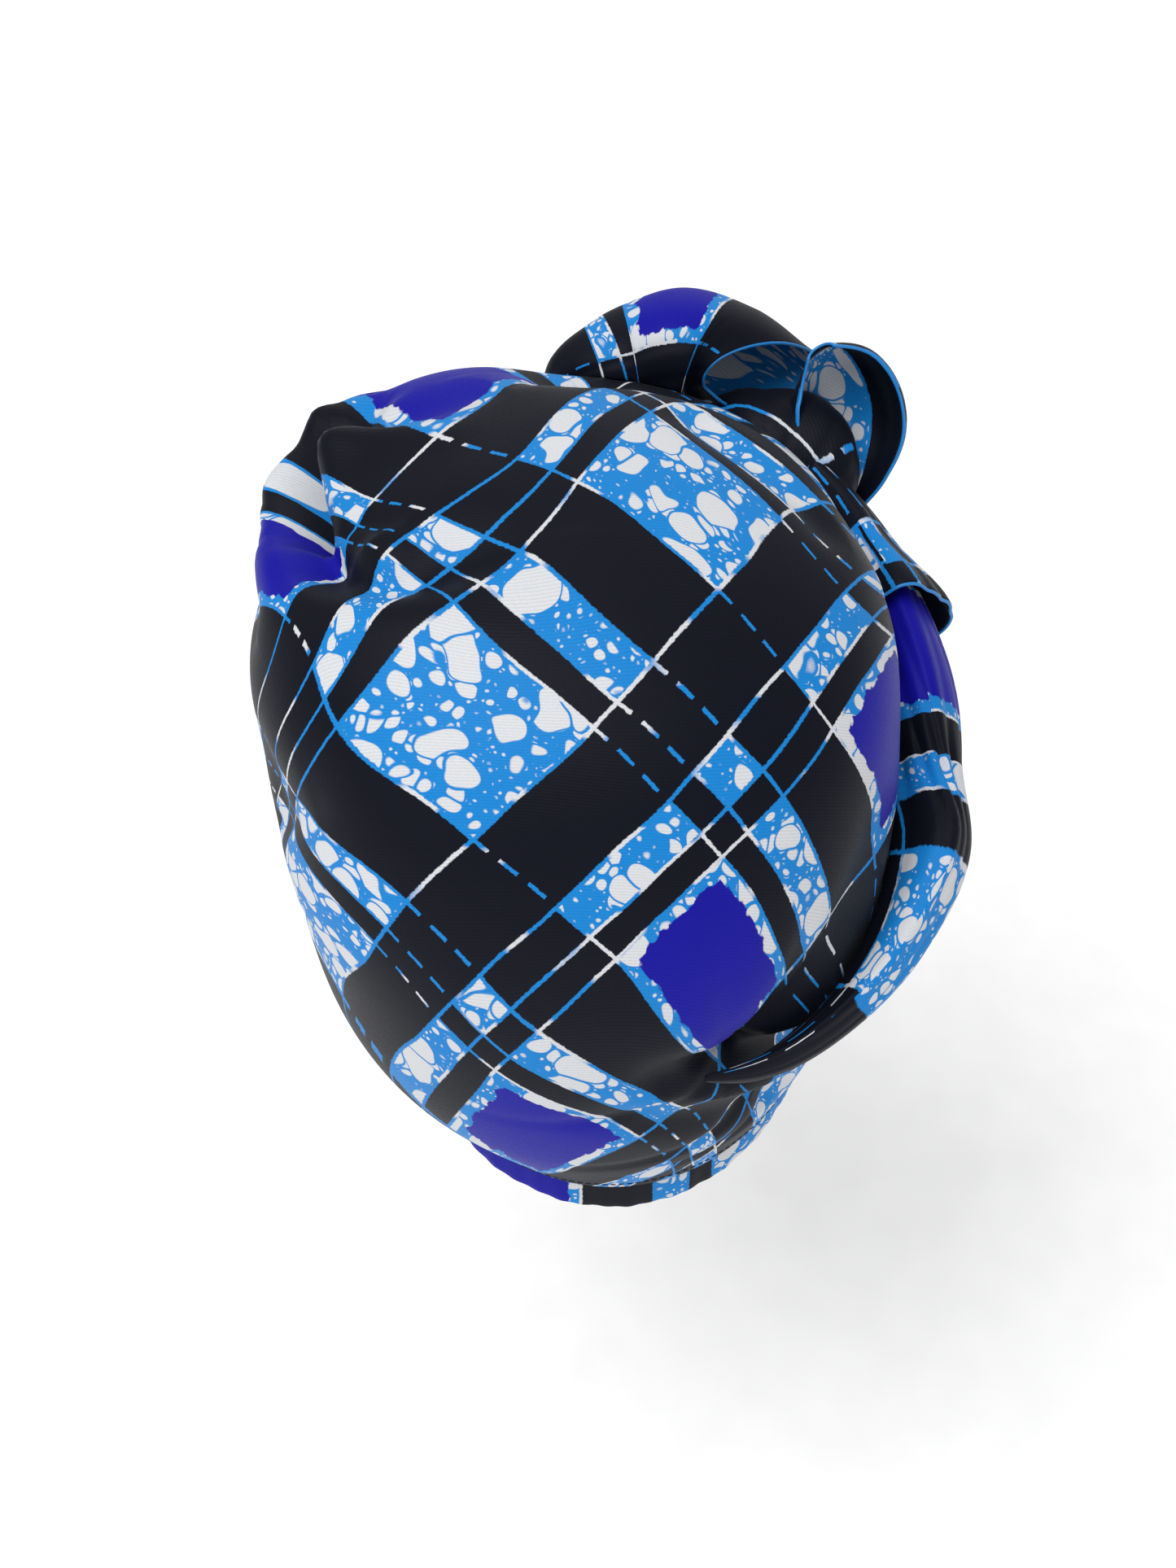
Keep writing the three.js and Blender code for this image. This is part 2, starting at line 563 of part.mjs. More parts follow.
function add(name, geometry, color, roughness) {
  geometry.computeVertexNormals();
  const mesh = new THREE.Mesh(geometry, new THREE.MeshStandardMaterial({ color, roughness, metalness: 0 }));
  mesh.name = name;
  wrap.add(mesh);
}

// Each piece is cut to fit the ones that it rests on, a gap away from them.
const cutToFit = (solid, ...seats) => geometryOf(seats.reduce((rest, seat) => rest.subtract(seat), solid));
const crownSeat = crownClearance();
const knotSeat = knot(GAP);
const rollSeat = sideRoll(() => GAP);
const endSeat = tailEndFilled(GAP);
const tailEnd = tailEndFilled().subtract(sideRoll(endStandsOff, endStep - 1));

add("crown", crownShell(), 0x14151f, 0.55);
add("hem_band", hemBand(), 0x1c1ea0, 0.6);
add("knot", cutToFit(knot(), crownSeat), 0x14151f, 0.6);
add("side_roll", cutToFit(sideRoll(), crownSeat, knotSeat), 0x1b86dc, 0.55);
add("tail_end", cutToFit(tailEnd, crownSeat, knotSeat), 0x1b86dc, 0.55);
add("petal_top", cutToFit(topPetal(), crownSeat, knotSeat), 0x14151f, 0.55);
add("petal_side", cutToFit(sidePetal(), crownSeat, knotSeat, rollSeat, endSeat), 0x1b86dc, 0.55);

export default wrap;
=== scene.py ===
"""A wired head wrap: a full printed cap on a plain band, with a wound tail, its knot and two open petals."""

import math

import bpy
import numpy as np
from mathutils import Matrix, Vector
from mathutils.bvhtree import BVHTree


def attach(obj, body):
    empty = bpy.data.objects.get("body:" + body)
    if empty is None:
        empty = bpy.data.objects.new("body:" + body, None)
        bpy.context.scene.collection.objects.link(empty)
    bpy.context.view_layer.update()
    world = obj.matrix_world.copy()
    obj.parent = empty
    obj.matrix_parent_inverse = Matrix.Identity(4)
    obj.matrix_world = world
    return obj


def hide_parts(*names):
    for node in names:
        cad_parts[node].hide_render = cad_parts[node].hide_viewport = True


bl_info = {
    "name": "Wired head wrap",
    "version": (1, 0, 0),
    "blender": (4, 5, 0),
    "location": "3D View > Sidebar > Head wrap",
    "description": "Makes a printed cloth head wrap with a wound and knotted tail",
    "category": "Object",
}

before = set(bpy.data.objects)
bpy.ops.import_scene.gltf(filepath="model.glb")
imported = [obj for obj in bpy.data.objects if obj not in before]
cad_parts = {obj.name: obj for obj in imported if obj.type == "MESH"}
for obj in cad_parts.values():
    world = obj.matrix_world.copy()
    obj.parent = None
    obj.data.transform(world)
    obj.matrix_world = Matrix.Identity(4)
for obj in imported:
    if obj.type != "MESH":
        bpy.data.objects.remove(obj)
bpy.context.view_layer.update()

# Sections of the cap from hem to top. along runs from 0 at the hem to 1 at the top. rise is a share of the
# cap's height, left and right are shares of half its width, and back and front of half its depth. tilt is in
# degrees, and square is 2 for an ellipse and more for a boxier ring.
CROWN_SECTIONS = (
    "along rise left right back front tilt square",
    (0.14, 0.214, 0.99, 0.85, 0.912, 0.938, 14.7, 2.1),
    (0.3, 0.418, 1.055, 0.9, 1.035, 0.965, 10.5, 2.2),
    (0.46, 0.607, 1.1, 0.9, 1.035, 0.956, 7.5, 2.35),
    (0.62, 0.782, 1.1, 0.832, 0.885, 0.929, 5.3, 2.45),
    (0.77, 0.905, 0.931, 0.584, 0.602, 0.796, 3.6, 2.3),
    (0.88, 0.973, 0.554, 0.238, 0.265, 0.513, 2.6, 2.15),
    (0.96, 0.998, 0.218, -0.03, -0.018, 0.248, 2.2, 2),
    (1, 1.002, 0.099, -0.099, -0.124, 0.124, 2, 2),
)

# Folds of the cap, each over three places given as turn in degrees and along. Turn 0 is the wearer's left
# and 90 the nape. Then come the depth at the two ends and the half-width below and above the line, as
# shares of the fold depth. A depth under zero stands proud as a rolled edge.
CROWN_FOLDS = {
    "pocket_top": ((-24, 0.735), (2, 0.772), (26, 0.778), (0.35, 0.95), (0.5, 0.95)),
    "pocket_lip": ((26, 0.778), (46, 0.8), (78, 0.866), (0.95, 0.1), (0.45, 0.85)),
    "corner_roll": ((-38, 0.735), (-20, 0.715), (2, 0.7), (-0.3, -0.2), (0.7, 0.5)),
    "lip_roll": ((10, 0.71), (34, 0.74), (60, 0.79), (-0.22, -0.05), (0.9, 0.5)),
    "top_valley": ((-34, 0.78), (-20, 0.83), (-38, 0.885), (0.3, 0.15), (0.6, 0.5)),
    "top_ridge": ((-14, 0.79), (-8, 0.837), (-3, 0.887), (-0.25, -0.1), (0.5, 0.5)),
    "knot_hollow": ((262, 0.84), (222, 0.77), (196, 0.62), (0.6, 0.35), (1.3, 1.1)),
    "edge_pleat": ((196, 0.868), (180, 0.83), (170, 0.75), (0.2, 0.12), (0.45, 0.45)),
    "nape_tuck": ((104, 0.292), (112, 0.285), (121, 0.262), (0.2, 0.6), (0.45, 0.5)),
    "tuck_upper": ((119, 0.262), (130, 0.23), (146, 0.17), (0.6, 0.45), (0.45, 0.5)),
    "tuck_rise": ((121, 0.3), (134, 0.37), (146, 0.46), (0.4, 0.12), (0.7, 0.6)),
    "tuck_lower": ((90, 0.232), (108, 0.21), (130, 0.13), (0.05, 0.3), (0.45, 0.45)),
    "side_pinch": ((28, 0.49), (37, 0.52), (44, 0.55), (0.25, 0.1), (0.9, 0.9)),
}

# Smaller wrinkles, given in the same way, which add to the folds.
CROWN_WRINKLES = {
    "pocket_hole": ((-25, 0.76), (-10, 0.742), (10, 0.752), (0.7, 0.8), (0.3, 0.36)),
    "pocket_fill": ((-8, 0.785), (12, 0.792), (40, 0.805), (-0.6, -0.4), (0.45, 0.6)),
    "far_lip": ((-33, 0.72), (-21, 0.698), (-9, 0.668), (-0.2, -0.22), (0.36, 0.32)),
    "lip_slack": ((-6, 0.62), (4, 0.63), (16, 0.645), (0.22, 0.15), (0.5, 0.4)),
    "pocket_crease": ((22, 0.81), (34, 0.835), (52, 0.85), (0.08, 0.02), (0.16, 0.22)),
    "tuck_point": ((108, 0.3), (113, 0.288), (120, 0.272), (0.06, 0.2), (0.14, 0.2)),
    "tuck_fan_low": ((70, 0.222), (98, 0.235), (116, 0.262), (0.01, 0.08), (0.14, 0.14)),
    "tuck_fan_high": ((112, 0.44), (114, 0.36), (116, 0.285), (0.01, 0.1), (0.22, 0.22)),
    "tuck_fan_side": ((128, 0.44), (124, 0.36), (119, 0.28), (0.04, 0.14), (0.2, 0.2)),
    "band_pleat": ((84, 0.11), (104, 0.125), (126, 0.15), (0.02, 0.1), (0.14, 0.16)),
    "band_pleat_two": ((92, 0.06), (110, 0.075), (130, 0.1), (0.02, 0.08), (0.12, 0.14)),
    "side_crease": ((20, 0.4), (32, 0.47), (46, 0.55), (0.1, 0.02), (0.2, 0.25)),
    "side_crease_low": ((14, 0.24), (24, 0.3), (40, 0.36), (0.07, 0.01), (0.2, 0.2)),
    "left_drop": ((-10, 0.66), (-4, 0.5), (4, 0.34), (0.16, 0.03), (0.35, 0.35)),
    "left_drop_two": ((-30, 0.62), (-26, 0.44), (-22, 0.26), (0.14, 0.04), (0.35, 0.35)),
    "front_drop": ((-62, 0.66), (-66, 0.44), (-70, 0.2), (0.16, 0.06), (0.35, 0.35)),
    "front_pull": ((-84, 0.6), (-104, 0.42), (-128, 0.3), (0.05, 0.22), (0.3, 0.35)),
    "front_pull_low": ((-80, 0.34), (-104, 0.26), (-130, 0.22), (0.04, 0.2), (0.3, 0.3)),
    "side_pull": ((-176, 0.16), (-160, 0.24), (-142, 0.36), (0.06, 0.2), (0.25, 0.3)),
    "top_pull": ((-60, 0.9), (-86, 0.86), (-104, 0.76), (0.03, 0.14), (0.25, 0.3)),
}
HEM_CALM = 0.09  # the folds die out in this share of the cap above its hem

# The wound tail from the nape to the knot, by its turn and its height along the cap. width and thick are
# shares of the roll's, and twist turns the section, in degrees.
ROLL_STATIONS = (
    "along turn height width thick twist",
    (0, 111, 0.275, 0.08, 0.06, 0),
    (0.12, 124, 0.262, 0.36, 0.26, 6),
    (0.25, 138, 0.27, 0.54, 0.46, 14),
    (0.38, 152, 0.292, 0.76, 0.72, 20),
    (0.5, 166, 0.32, 0.96, 0.94, 24),
    (0.6, 177, 0.352, 0.78, 0.9, 10),
    (0.72, 190, 0.395, 0.98, 0.9, -6),
    (0.86, 206, 0.445, 0.96, 0.8, -14),
    (1, 226, 0.51, 0.8, 0.7, -20),
)
ROLL_PLEATS = (4, 0.07)  # how many, and their depth as a share of the section
ROLL_CREASES = (11, 0.035, 0.6, 0.05, 0.09)  # count, depth, where they gather, how tightly, depth there
ROLL_WANDER = (9, 1.3, 3, 11)  # how far the creases turn along it, and their wave's depth, count and turn
END_START = 26 / 32  # where the loose end begins along the roll

# The knot on the cap, proud by a share of its size, its shape as shares of its size, and its windings.
KNOT_PLACE = (233, 0.515, 0.23)
KNOT_SHAPE = (1.35, 1.3, 0.92)
KNOT_WINDINGS = (3, 0.06, 3)  # how many, how deep, and how far they turn from root to face
KNOT_CREASES = (13, 0.007, 5)  # the same of its fine creases

# The top petal, a pod that is closed at its left end and opens towards the knot. across, back, up, slant
# and lip are shares of its length, tall and deep of its height and depth, and pinch is a share taken off.
TOP_PETAL_PLACE = (267, 0.67, 0.38)
TOP_PETAL_RINGS = (
    "along across back up tall deep slant lip pinch",
    (0, -0.16, 0.1, -0.16, 0.1, 0.1, 0, 0, 0),
    (0.12, -0.06, 0.06, -0.06, 0.5, 0.42, 0, 0, 0.04),
    (0.27, 0.08, 0.03, 0, 0.78, 0.76, 0, 0, 0.16),
    (0.42, 0.22, 0, 0.03, 0.86, 0.9, 0.02, 0, 0.02),
    (0.6, 0.4, 0, 0.06, 1, 1, 0.06, 0, 0),
    (0.8, 0.58, 0, 0.01, 0.98, 1, 0.14, 0.05, 0),
    (1, 0.74, 0.04, -0.07, 0.86, 0.9, 0.22, 0.15, 0),
)
LIP_TURN = -60  # degrees round the mouth from its front where the lower edge runs on most
TOP_PETAL_CREASES = (7, 0.03, 3, 0.4)  # count, depth, how far they turn along it and how much they fade
TOP_PETAL_WANDER = (2, 2.2)  # how unevenly the creases are spread round it, as a wave's count and depth

# The side petal, a cupped leaf that stands on the knot. Its place is in shares of half the knot's size.
# out, forward and up are shares of its length and wide of its width. cup and curl are in degrees.
SIDE_PETAL_PLACE = (-0.92, -0.3, 0.08)
SIDE_PETAL_OPENS = (0.35, 1, 0.25)
SIDE_PETAL_ROWS = (
    "along out forward up wide cup curl",
    (0, 0.04, 0, -0.06, 0.34, 150, 0),
    (0.25, 0.07, 0.04, 0.17, 0.76, 190, 14),
    (0.5, 0.07, 0.08, 0.4, 1, 210, 24),
    (0.75, 0, 0.1, 0.63, 0.86, 200, 24),
    (1, -0.1, 0.08, 0.8, 0.28, 150, 10),
)
SIDE_PETAL_RIPPLES = (9, 0.025, 4)  # count, depth and how far they turn along it

NUDGE = 1e-3  # the step along a table that gives a direction
TINY = 1e-12  # keeps a division off nought
FOLD_STEPS = 24
UP = np.array((0.0, 0.0, 1.0))


def read_table(rows, scales=None):
    """A table as one array for each named column, with some columns times a size."""
    columns = dict(zip(rows[0].split(), np.array(rows[1:], float).T))
    for name, scale in (scales or {}).items():
        columns[name] = columns[name] * scale
    return columns


def column_at(table, name, along):
    """One column at places between the rows, on a smooth curve through them."""
    places, values = table["along"], table[name]
    last = len(places) - 1
    along = np.clip(along, places[0], places[-1])
    i = np.clip(np.searchsorted(places, along, side="right") - 1, 0, last - 1)
    before, after = np.maximum(np.arange(last + 1) - 1, 0), np.minimum(np.arange(last + 1) + 1, last)
    slope = (values[after] - values[before]) / (places[after] - places[before])
    step = places[i + 1] - places[i]
    s = (along - places[i]) / step
    start = (2 * s**3 - 3 * s**2 + 1) * values[i] + (s**3 - 2 * s**2 + s) * step * slope[i]
    return start + (3 * s**2 - 2 * s**3) * values[i + 1] + (s**3 - s**2) * step * slope[i + 1]


def unit(vectors):
    """Vectors of length one."""
    return vectors / np.maximum(np.linalg.norm(vectors, axis=-1, keepdims=True), TINY)


def full_turn(sides):
    """Angles that go once round, as one row."""
    return np.linspace(0, 2 * np.pi, sides, endpoint=False)[None, :]


def heading(middle, s):
    """The direction in which a middle line runs at places s."""
    before, after = middle(np.maximum(s - NUDGE, 0)), middle(np.minimum(s + NUDGE, 1))
    return unit(after - before)


def smoothstep(value, low, high):
    """0 below low, 1 above high and smooth between them."""
    s = np.clip((value - low) / (high - low), 0, 1)
    return s * s * (3 - 2 * s)


class Cap:
    """The cap's skin as a function of turn, in radians, and of its height along from hem to top."""

    def __init__(self, size):
        wide, deep = size.crown_width / 2, size.crown_depth / 2
        allowance = size.band_wall + size.gap + size.cloth
        hem = {
            "along": 0,
            "rise": size.hem_rise,
            "left": size.head_width / 2 + allowance,
            "right": size.head_width / 2 + allowance,
            "back": size.nape_reach + allowance,
            "front": size.brow_reach + allowance,
            "tilt": math.degrees(size.hem_tilt),
            "square": 2,
        }
        scales = {"rise": size.crown_height, "left": wide, "right": wide, "back": deep, "front": deep}
        body = read_table(CROWN_SECTIONS, scales)
        self.table = {name: np.append(hem[name], values) for name, values in body.items()}
        self.fold_depth = size.fold_depth
        self.folds = [self.fold_line(*fold) for fold in CROWN_FOLDS.values()]
        self.wrinkles = [self.fold_line(*fold) for fold in CROWN_WRINKLES.values()]

    def ring(self, row, turn, shrink=0.0, lift=0.0):
        """Points of a ring, taken in on all sides by shrink and raised by lift."""
        c, s = np.cos(turn), np.sin(turn)
        square = row["square"]
        round_ = (np.abs(c) ** square + np.abs(s) ** square) ** (-1 / square)
        x = (row["left"] - row["right"]) / 2 + ((row["left"] + row["right"]) / 2 - shrink) * c * round_
        y = (row["back"] - row["front"]) / 2 + ((row["back"] + row["front"]) / 2 - shrink) * s * round_
        z = row["rise"] + lift - y * np.tan(np.radians(row["tilt"]))
        return np.stack((x, y, z), -1)

    def base(self, turn, along):
        """Points of the cap without its folds."""
        turn, along = np.broadcast_arrays(np.asarray(turn, float), np.asarray(along, float))
        return self.ring({name: column_at(self.table, name, along) for name in self.table}, turn)

    def normal(self, turn, along):
        """The directions straight out of the cap."""
        place = np.minimum(along, 1 - 2 * NUDGE)
        aside = self.base(turn + NUDGE, place) - self.base(turn - NUDGE, place)
        upward = self.base(turn, place + NUDGE) - self.base(turn, np.maximum(place - NUDGE, 0))
        return unit(np.cross(aside, upward))

    def fold_line(self, start, over, end, deep, wide):
        """A fold as points on the cap with their depths, and its half-widths below and above."""
        s = np.linspace(0, 1, FOLD_STEPS + 1)
        places = []
        for a, b, c in zip(start, over, end):
            bend = 2 * b - (a + c) / 2
            places.append((1 - s) ** 2 * a + 2 * s * (1 - s) * bend + s**2 * c)
        points = self.base(np.radians(places[0]), places[1])
        return points, places[1], deep[0] + (deep[1] - deep[0]) * s, wide

    def depth_of(self, fold, points, along):
        """How deep one fold is at each point."""
        line, places, deeps, (below, above) = fold
        best = np.full(len(points), np.inf)
        deep, place = np.zeros(len(points)), np.zeros(len(points))
        for i in range(FOLD_STEPS):
            a, run = line[i], line[i + 1] - line[i]
            s = np.clip((points - a) @ run / max(run @ run, TINY), 0, 1)
            gap = np.linalg.norm(points - a - s[:, None] * run, axis=1)
            near = gap < best
            best = np.where(near, gap, best)
            deep = np.where(near, deeps[i] + (deeps[i + 1] - deeps[i]) * s, deep)
            place = np.where(near, places[i] + (places[i + 1] - places[i]) * s, place)
        width = self.fold_depth * np.where(along < place, below, above)
        return self.fold_depth * deep * np.exp(-((best / width) ** 2))

    def fold_shift(self, base, along):
        """How far the folds move the skin out. The deepest valley and the highest ridge count."""
        points, heights = base.reshape(-1, 3), np.broadcast_to(along, base.shape[:-1]).ravel()
        depths = [self.depth_of(fold, points, heights) for fold in self.folds]
        small = sum(self.depth_of(fold, points, heights) for fold in self.wrinkles)
        total = np.maximum(np.max(depths, 0), 0) + np.minimum(np.min(depths, 0), 0) + small
        return (-total * smoothstep(heights, 0, HEM_CALM)).reshape(base.shape[:-1])

    def skin(self, turn, along, proud=0.0):
        """Points of the cap's outside with its folds, moved out by proud."""
        turn, along = np.broadcast_arrays(np.asarray(turn, float), np.asarray(along, float))
        base = self.base(turn, along)
        shift = self.fold_shift(base, along) + proud
        return base + self.normal(turn, along) * shift[..., None]


class Tail:
    """The wound tail, its knot, its two petals and its loose end."""

    def __init__(self, size, cap):
        self.size, self.cap = size, cap
        self.stations = read_table(ROLL_STATIONS, {"width": size.roll_width, "thick": size.roll_thickness})
        length = size.top_petal_length
        scales = {name: length for name in ("across", "back", "up", "slant", "lip")}
        scales |= {"tall": size.top_petal_height, "deep": size.top_petal_depth}
        self.top_rings = read_table(TOP_PETAL_RINGS, scales)
        scales = {name: size.side_petal_length for name in ("out", "forward", "up")}
        self.side_rows = read_table(SIDE_PETAL_ROWS, scales | {"wide": size.side_petal_width})

    def place_on(self, turn, height, proud):
        """A point off the cap's skin, and the direction straight out there."""
        turn = math.radians(turn)
        out = self.cap.normal(turn, height)
        return self.cap.base(turn, height) + out * proud, out

    def roll_middle(self, s):
        """The roll's middle line."""
        turn, height = np.radians(column_at(self.stations, "turn", s)), column_at(self.stations, "height", s)
        proud = column_at(self.stations, "thick", s) / 2 - self.size.roll_seat
        return self.cap.base(turn, height) + self.cap.normal(turn, height) * proud[..., None]

    def roll_rings(self, s, sides, grow):
        """Sections of the roll at places s, grown by grow at each, with creases that gather at the pinch."""
        s = s[:, None]
        angle = full_turn(sides)
        turn, height = np.radians(column_at(self.stations, "turn", s)), column_at(self.stations, "height", s)
        out = self.cap.normal(turn, height)
        ahead = heading(self.roll_middle, s)
        across = unit(np.cross(out, ahead))
        lift = np.cross(ahead, across)
        twist = np.radians(column_at(self.stations, "twist", s))
        count, deep = ROLL_PLEATS
        pleat = 1 + deep * np.cos(count * angle + 2 * twist)
        creases, shallow, pinch, near, tight = ROLL_CREASES
        gather = shallow + tight * np.exp(-(((s - pinch) / near) ** 2))
        turning, uneven, waves, drift = ROLL_WANDER
        wander = angle * creases + turning * s + uneven * np.sin(waves * angle + drift * s)
        crease = 1 - gather * (0.5 + 0.5 * np.cos(wander)) ** 2
        wide = (column_at(self.stations, "width", s) / 2 + grow[:, None]) * pleat * crease
        thick = (column_at(self.stations, "thick", s) / 2 + grow[:, None]) * pleat * crease
        a, b = np.cos(angle) * wide, np.sin(angle) * thick
        x, y = a * np.cos(twist) - b * np.sin(twist), a * np.sin(twist) + b * np.cos(twist)
        return self.roll_middle(s) + across * x[..., None] + lift * y[..., None]

    def knot_frame(self):
        """The knot's middle and its three directions."""
        turn, height, proud = KNOT_PLACE
        centre, out = self.place_on(turn, height, proud * self.size.knot_size)
        across = unit(np.cross(UP, out))
        return centre, across, np.cross(out, across), out

    def knot_rings(self, rows, sides):
        """The knot as rings from its root to its face."""
        centre, across, upward, out = self.knot_frame()
        polar = np.linspace(0, np.pi, rows + 1)[:, None]
        angle = full_turn(sides)
        count, deep, pitch = KNOT_WINDINGS
        creases, fine, turning = KNOT_CREASES
        winding = np.sin(polar) * np.cos(count * angle + pitch * polar)
        crease = np.sin(polar) * (0.5 + 0.5 * np.cos(creases * angle + turning * polar)) ** 3
        reach = (self.size.knot_size / 2) * (1 + deep * winding - 2 * fine * crease)
        wide, tall, thick = KNOT_SHAPE
        return (
            centre
            + across * (np.sin(polar) * np.cos(angle) * reach * wide)[..., None]
            + upward * (np.sin(polar) * np.sin(angle) * reach * tall)[..., None]
            - out * (np.cos(polar) * reach * thick)[..., None]
        )

    def top_petal_middle(self, s):
        """The top petal's middle line."""
        turn, height, proud = TOP_PETAL_PLACE
        root, _ = self.place_on(turn, height, proud * self.size.top_petal_height)
        rings = self.top_rings
        moves = (-column_at(rings, "across", s), column_at(rings, "back", s), column_at(rings, "up", s))
        return root + np.stack(moves, -1)

    def top_petal_rings(self, s, sides, wall):
        """Rings of the top petal at places s, taken in by a wall."""
        s = s[:, None]
        angle = full_turn(sides)
        at = {name: column_at(self.top_rings, name, s) for name in ("tall", "deep", "slant", "lip", "pinch")}
        ahead = heading(self.top_petal_middle, s)
        forward = unit(np.cross(UP, ahead))
        upward = np.cross(ahead, forward)
        tall = np.maximum(at["tall"] / 2 - wall, wall / 2)
        deep = np.maximum(at["deep"] / 2 - wall, wall / 2)
        left = 1 - at["pinch"] * np.maximum(np.sin(angle), 0)
        count, shallow, turning, fading = TOP_PETAL_CREASES
        waves, uneven = TOP_PETAL_WANDER
        crease = 0.5 + 0.5 * np.cos(count * angle + uneven * np.sin(waves * angle) + turning * s)
        left = left - shallow * crease**3 * (1 - fading * s)
        ran_on = at["slant"] * np.cos(angle) + at["lip"] * np.maximum(np.cos(angle - np.radians(LIP_TURN)), 0)
        return (
            self.top_petal_middle(s)
            + forward * (np.cos(angle) * deep * left)[..., None]
            + upward * (np.sin(angle) * tall * left)[..., None]
            + ahead * ran_on[..., None]
        )

    def side_petal_middle(self, s):
        """The side petal's middle line."""
        centre, across, upward, out = self.knot_frame()
        half = self.size.knot_size / 2
        aside, up, outward = SIDE_PETAL_PLACE
        root = centre + (across * aside + upward * up + out * outward) * half
        rows = self.side_rows
        moves = (-column_at(rows, "out", s), -column_at(rows, "forward", s), column_at(rows, "up", s))
        return root + np.stack(moves, -1)

    def side_petal_grid(self, steps, sides, inward):
        """A grid over the side petal, taken in towards its hollow."""
        s = np.linspace(0, 1, steps + 1)[:, None]
        opens = unit(np.array(SIDE_PETAL_OPENS))
        ahead = heading(self.side_petal_middle, s)
        across = unit(np.cross(ahead, opens))
        hollow = np.cross(across, ahead)
        cup, curl = (np.radians(column_at(self.side_rows, name, s)) for name in ("cup", "curl"))
        j = np.linspace(0, 1, sides + 1)[None, :]
        angle = cup * (j - 0.5) - curl
        facing = across * np.sin(angle)[..., None] - hollow * np.cos(angle)[..., None]
        count, shallow, turning = SIDE_PETAL_RIPPLES
        ripple = 1 + shallow * np.cos(count * angle + turning * s) * np.sin(np.pi * s)
        radius = column_at(self.side_rows, "wide", s) / 2 * ripple - inward
        return self.side_petal_middle(s) + facing * radius[..., None]


# Where the print's lines cross on the cap. s and t are places in the print, in millimetres, and then come
# the turn in degrees and the height along the cap where that place of the cloth lies.
PRINT_CHART = (
    (0, 52, 48, 0.93), (0, 80, 50, 0.855), (0, 105, 38, 0.815), (0, 157, 42, 0.695),
    (14, 52, 78, 0.925), (14, 105, 53, 0.815), (14, 157, 48, 0.675),
    (25, -11, 206, 0.895), (25, 0, 201, 0.91), (25, 52, 98, 0.91), (25, 80, 76, 0.86),
    (25, 94, 72, 0.815), (25, 105, 67, 0.79), (25, 157, 51, 0.66),
    (25, 185, 38, 0.53), (25, 199, 33, 0.485), (25, 210, 32, 0.47),
    (77, 0, 160, 0.795), (77, 52, 129, 0.79), (77, 80, 106, 0.735), (77, 94, 101, 0.715),
    (77, 105, 96, 0.695), (77, 157, 75, 0.585), (77, 185, 63, 0.505), (77, 199, 59, 0.465),
    (77, 210, 56, 0.44), (77, 262, 40, 0.275),
    (105, 0, 157, 0.705), (105, 52, 133, 0.705), (105, 80, 119, 0.665), (105, 94, 113, 0.645),
    (105, 105, 105, 0.615), (105, 157, 86, 0.52), (105, 185, 73, 0.44), (105, 199, 68, 0.395),
    (105, 210, 66, 0.37), (105, 262, 48, 0.155),
    (119, 0, 158, 0.665), (119, 52, 135, 0.665), (119, 80, 120, 0.63), (119, 94, 115, 0.61),
    (119, 105, 110, 0.585), (119, 157, 92, 0.5), (119, 185, 77, 0.405), (119, 199, 72, 0.355),
    (119, 262, 57, 0.175),
    (130, 0, 170, 0.59), (130, 52, 137, 0.63), (130, 80, 124, 0.595), (130, 94, 119, 0.58),
    (130, 105, 114, 0.56), (130, 157, 95, 0.465), (130, 185, 83, 0.38), (130, 199, 77, 0.335),
    (130, 262, 59, 0.12),
    (182, 52, 149, 0.43), (182, 80, 134, 0.415), (182, 94, 129, 0.41), (182, 105, 125, 0.38),
    (182, 157, 117, 0.25), (182, 185, 107, 0.22), (182, 199, 104, 0.205),
    (-28, 52, 3, 0.89), (-28, 80, 19, 0.83), (-28, 157, 34, 0.715),
)
CHART_REACH = 0.055  # how far from a charted crossing the cloth still follows it
CHART_EASE = 0.02  # how loosely the crossings are met, as a share
CAP_HEART = (0.008, 0.0, 0.1)  # the middle of the cap, from which the cloth is spread out flat
CAP_SPREAD = (0.0, 0.42, 0.907)  # the direction in which the cloth is spread without stretch
SPREAD_RADIUS = 105  # millimetres of cloth for each radian from that direction
MM = 1e-3

# The print in millimetres: where its strip, thin, wide and block bands end, and the line between bands
BANDS = (14, 25, 77, 105)
REPEAT = 105
CROSS_SHIFT = 25  # the wide band starts at 0 across the print, and after the strip and the thin along it
LINE = 1.2
INK_EDGE = 0.3  # how softly an inked edge ends
DASH, DASH_SHARE = 9.5, 0.62  # the pitch of the dashes, and the share of it that is inked
PALE_FROM, PALE_SOFT = 0.56, 0.04  # where in the noise a line turns white, and how softly
BORDER, BORDER_SOFT = 1.2, 0.5  # the pebbled border round a royal cell
BORDER_WAVE = 7.0  # how far the noise moves the royal cell's edge
# The pebbles, large ones first: their spacing, their least radius and how much it varies, both as
# shares of the spacing, and half the groove between two
PEBBLE_SIZES = (
    (14.0, 0.24, 0.42, 0.4),
    (5.6, 0.16, 0.42, 0.35),
    (2.4, 0.08, 0.34, 0.3),
)
PEBBLE_SCATTER = 0.9  # how far their middles stray from a grid
ROUNDING = 1.4  # how softly a pebble's corners are rounded
CLEARANCE = 0.7  # the least blue between a pebble and smaller ones
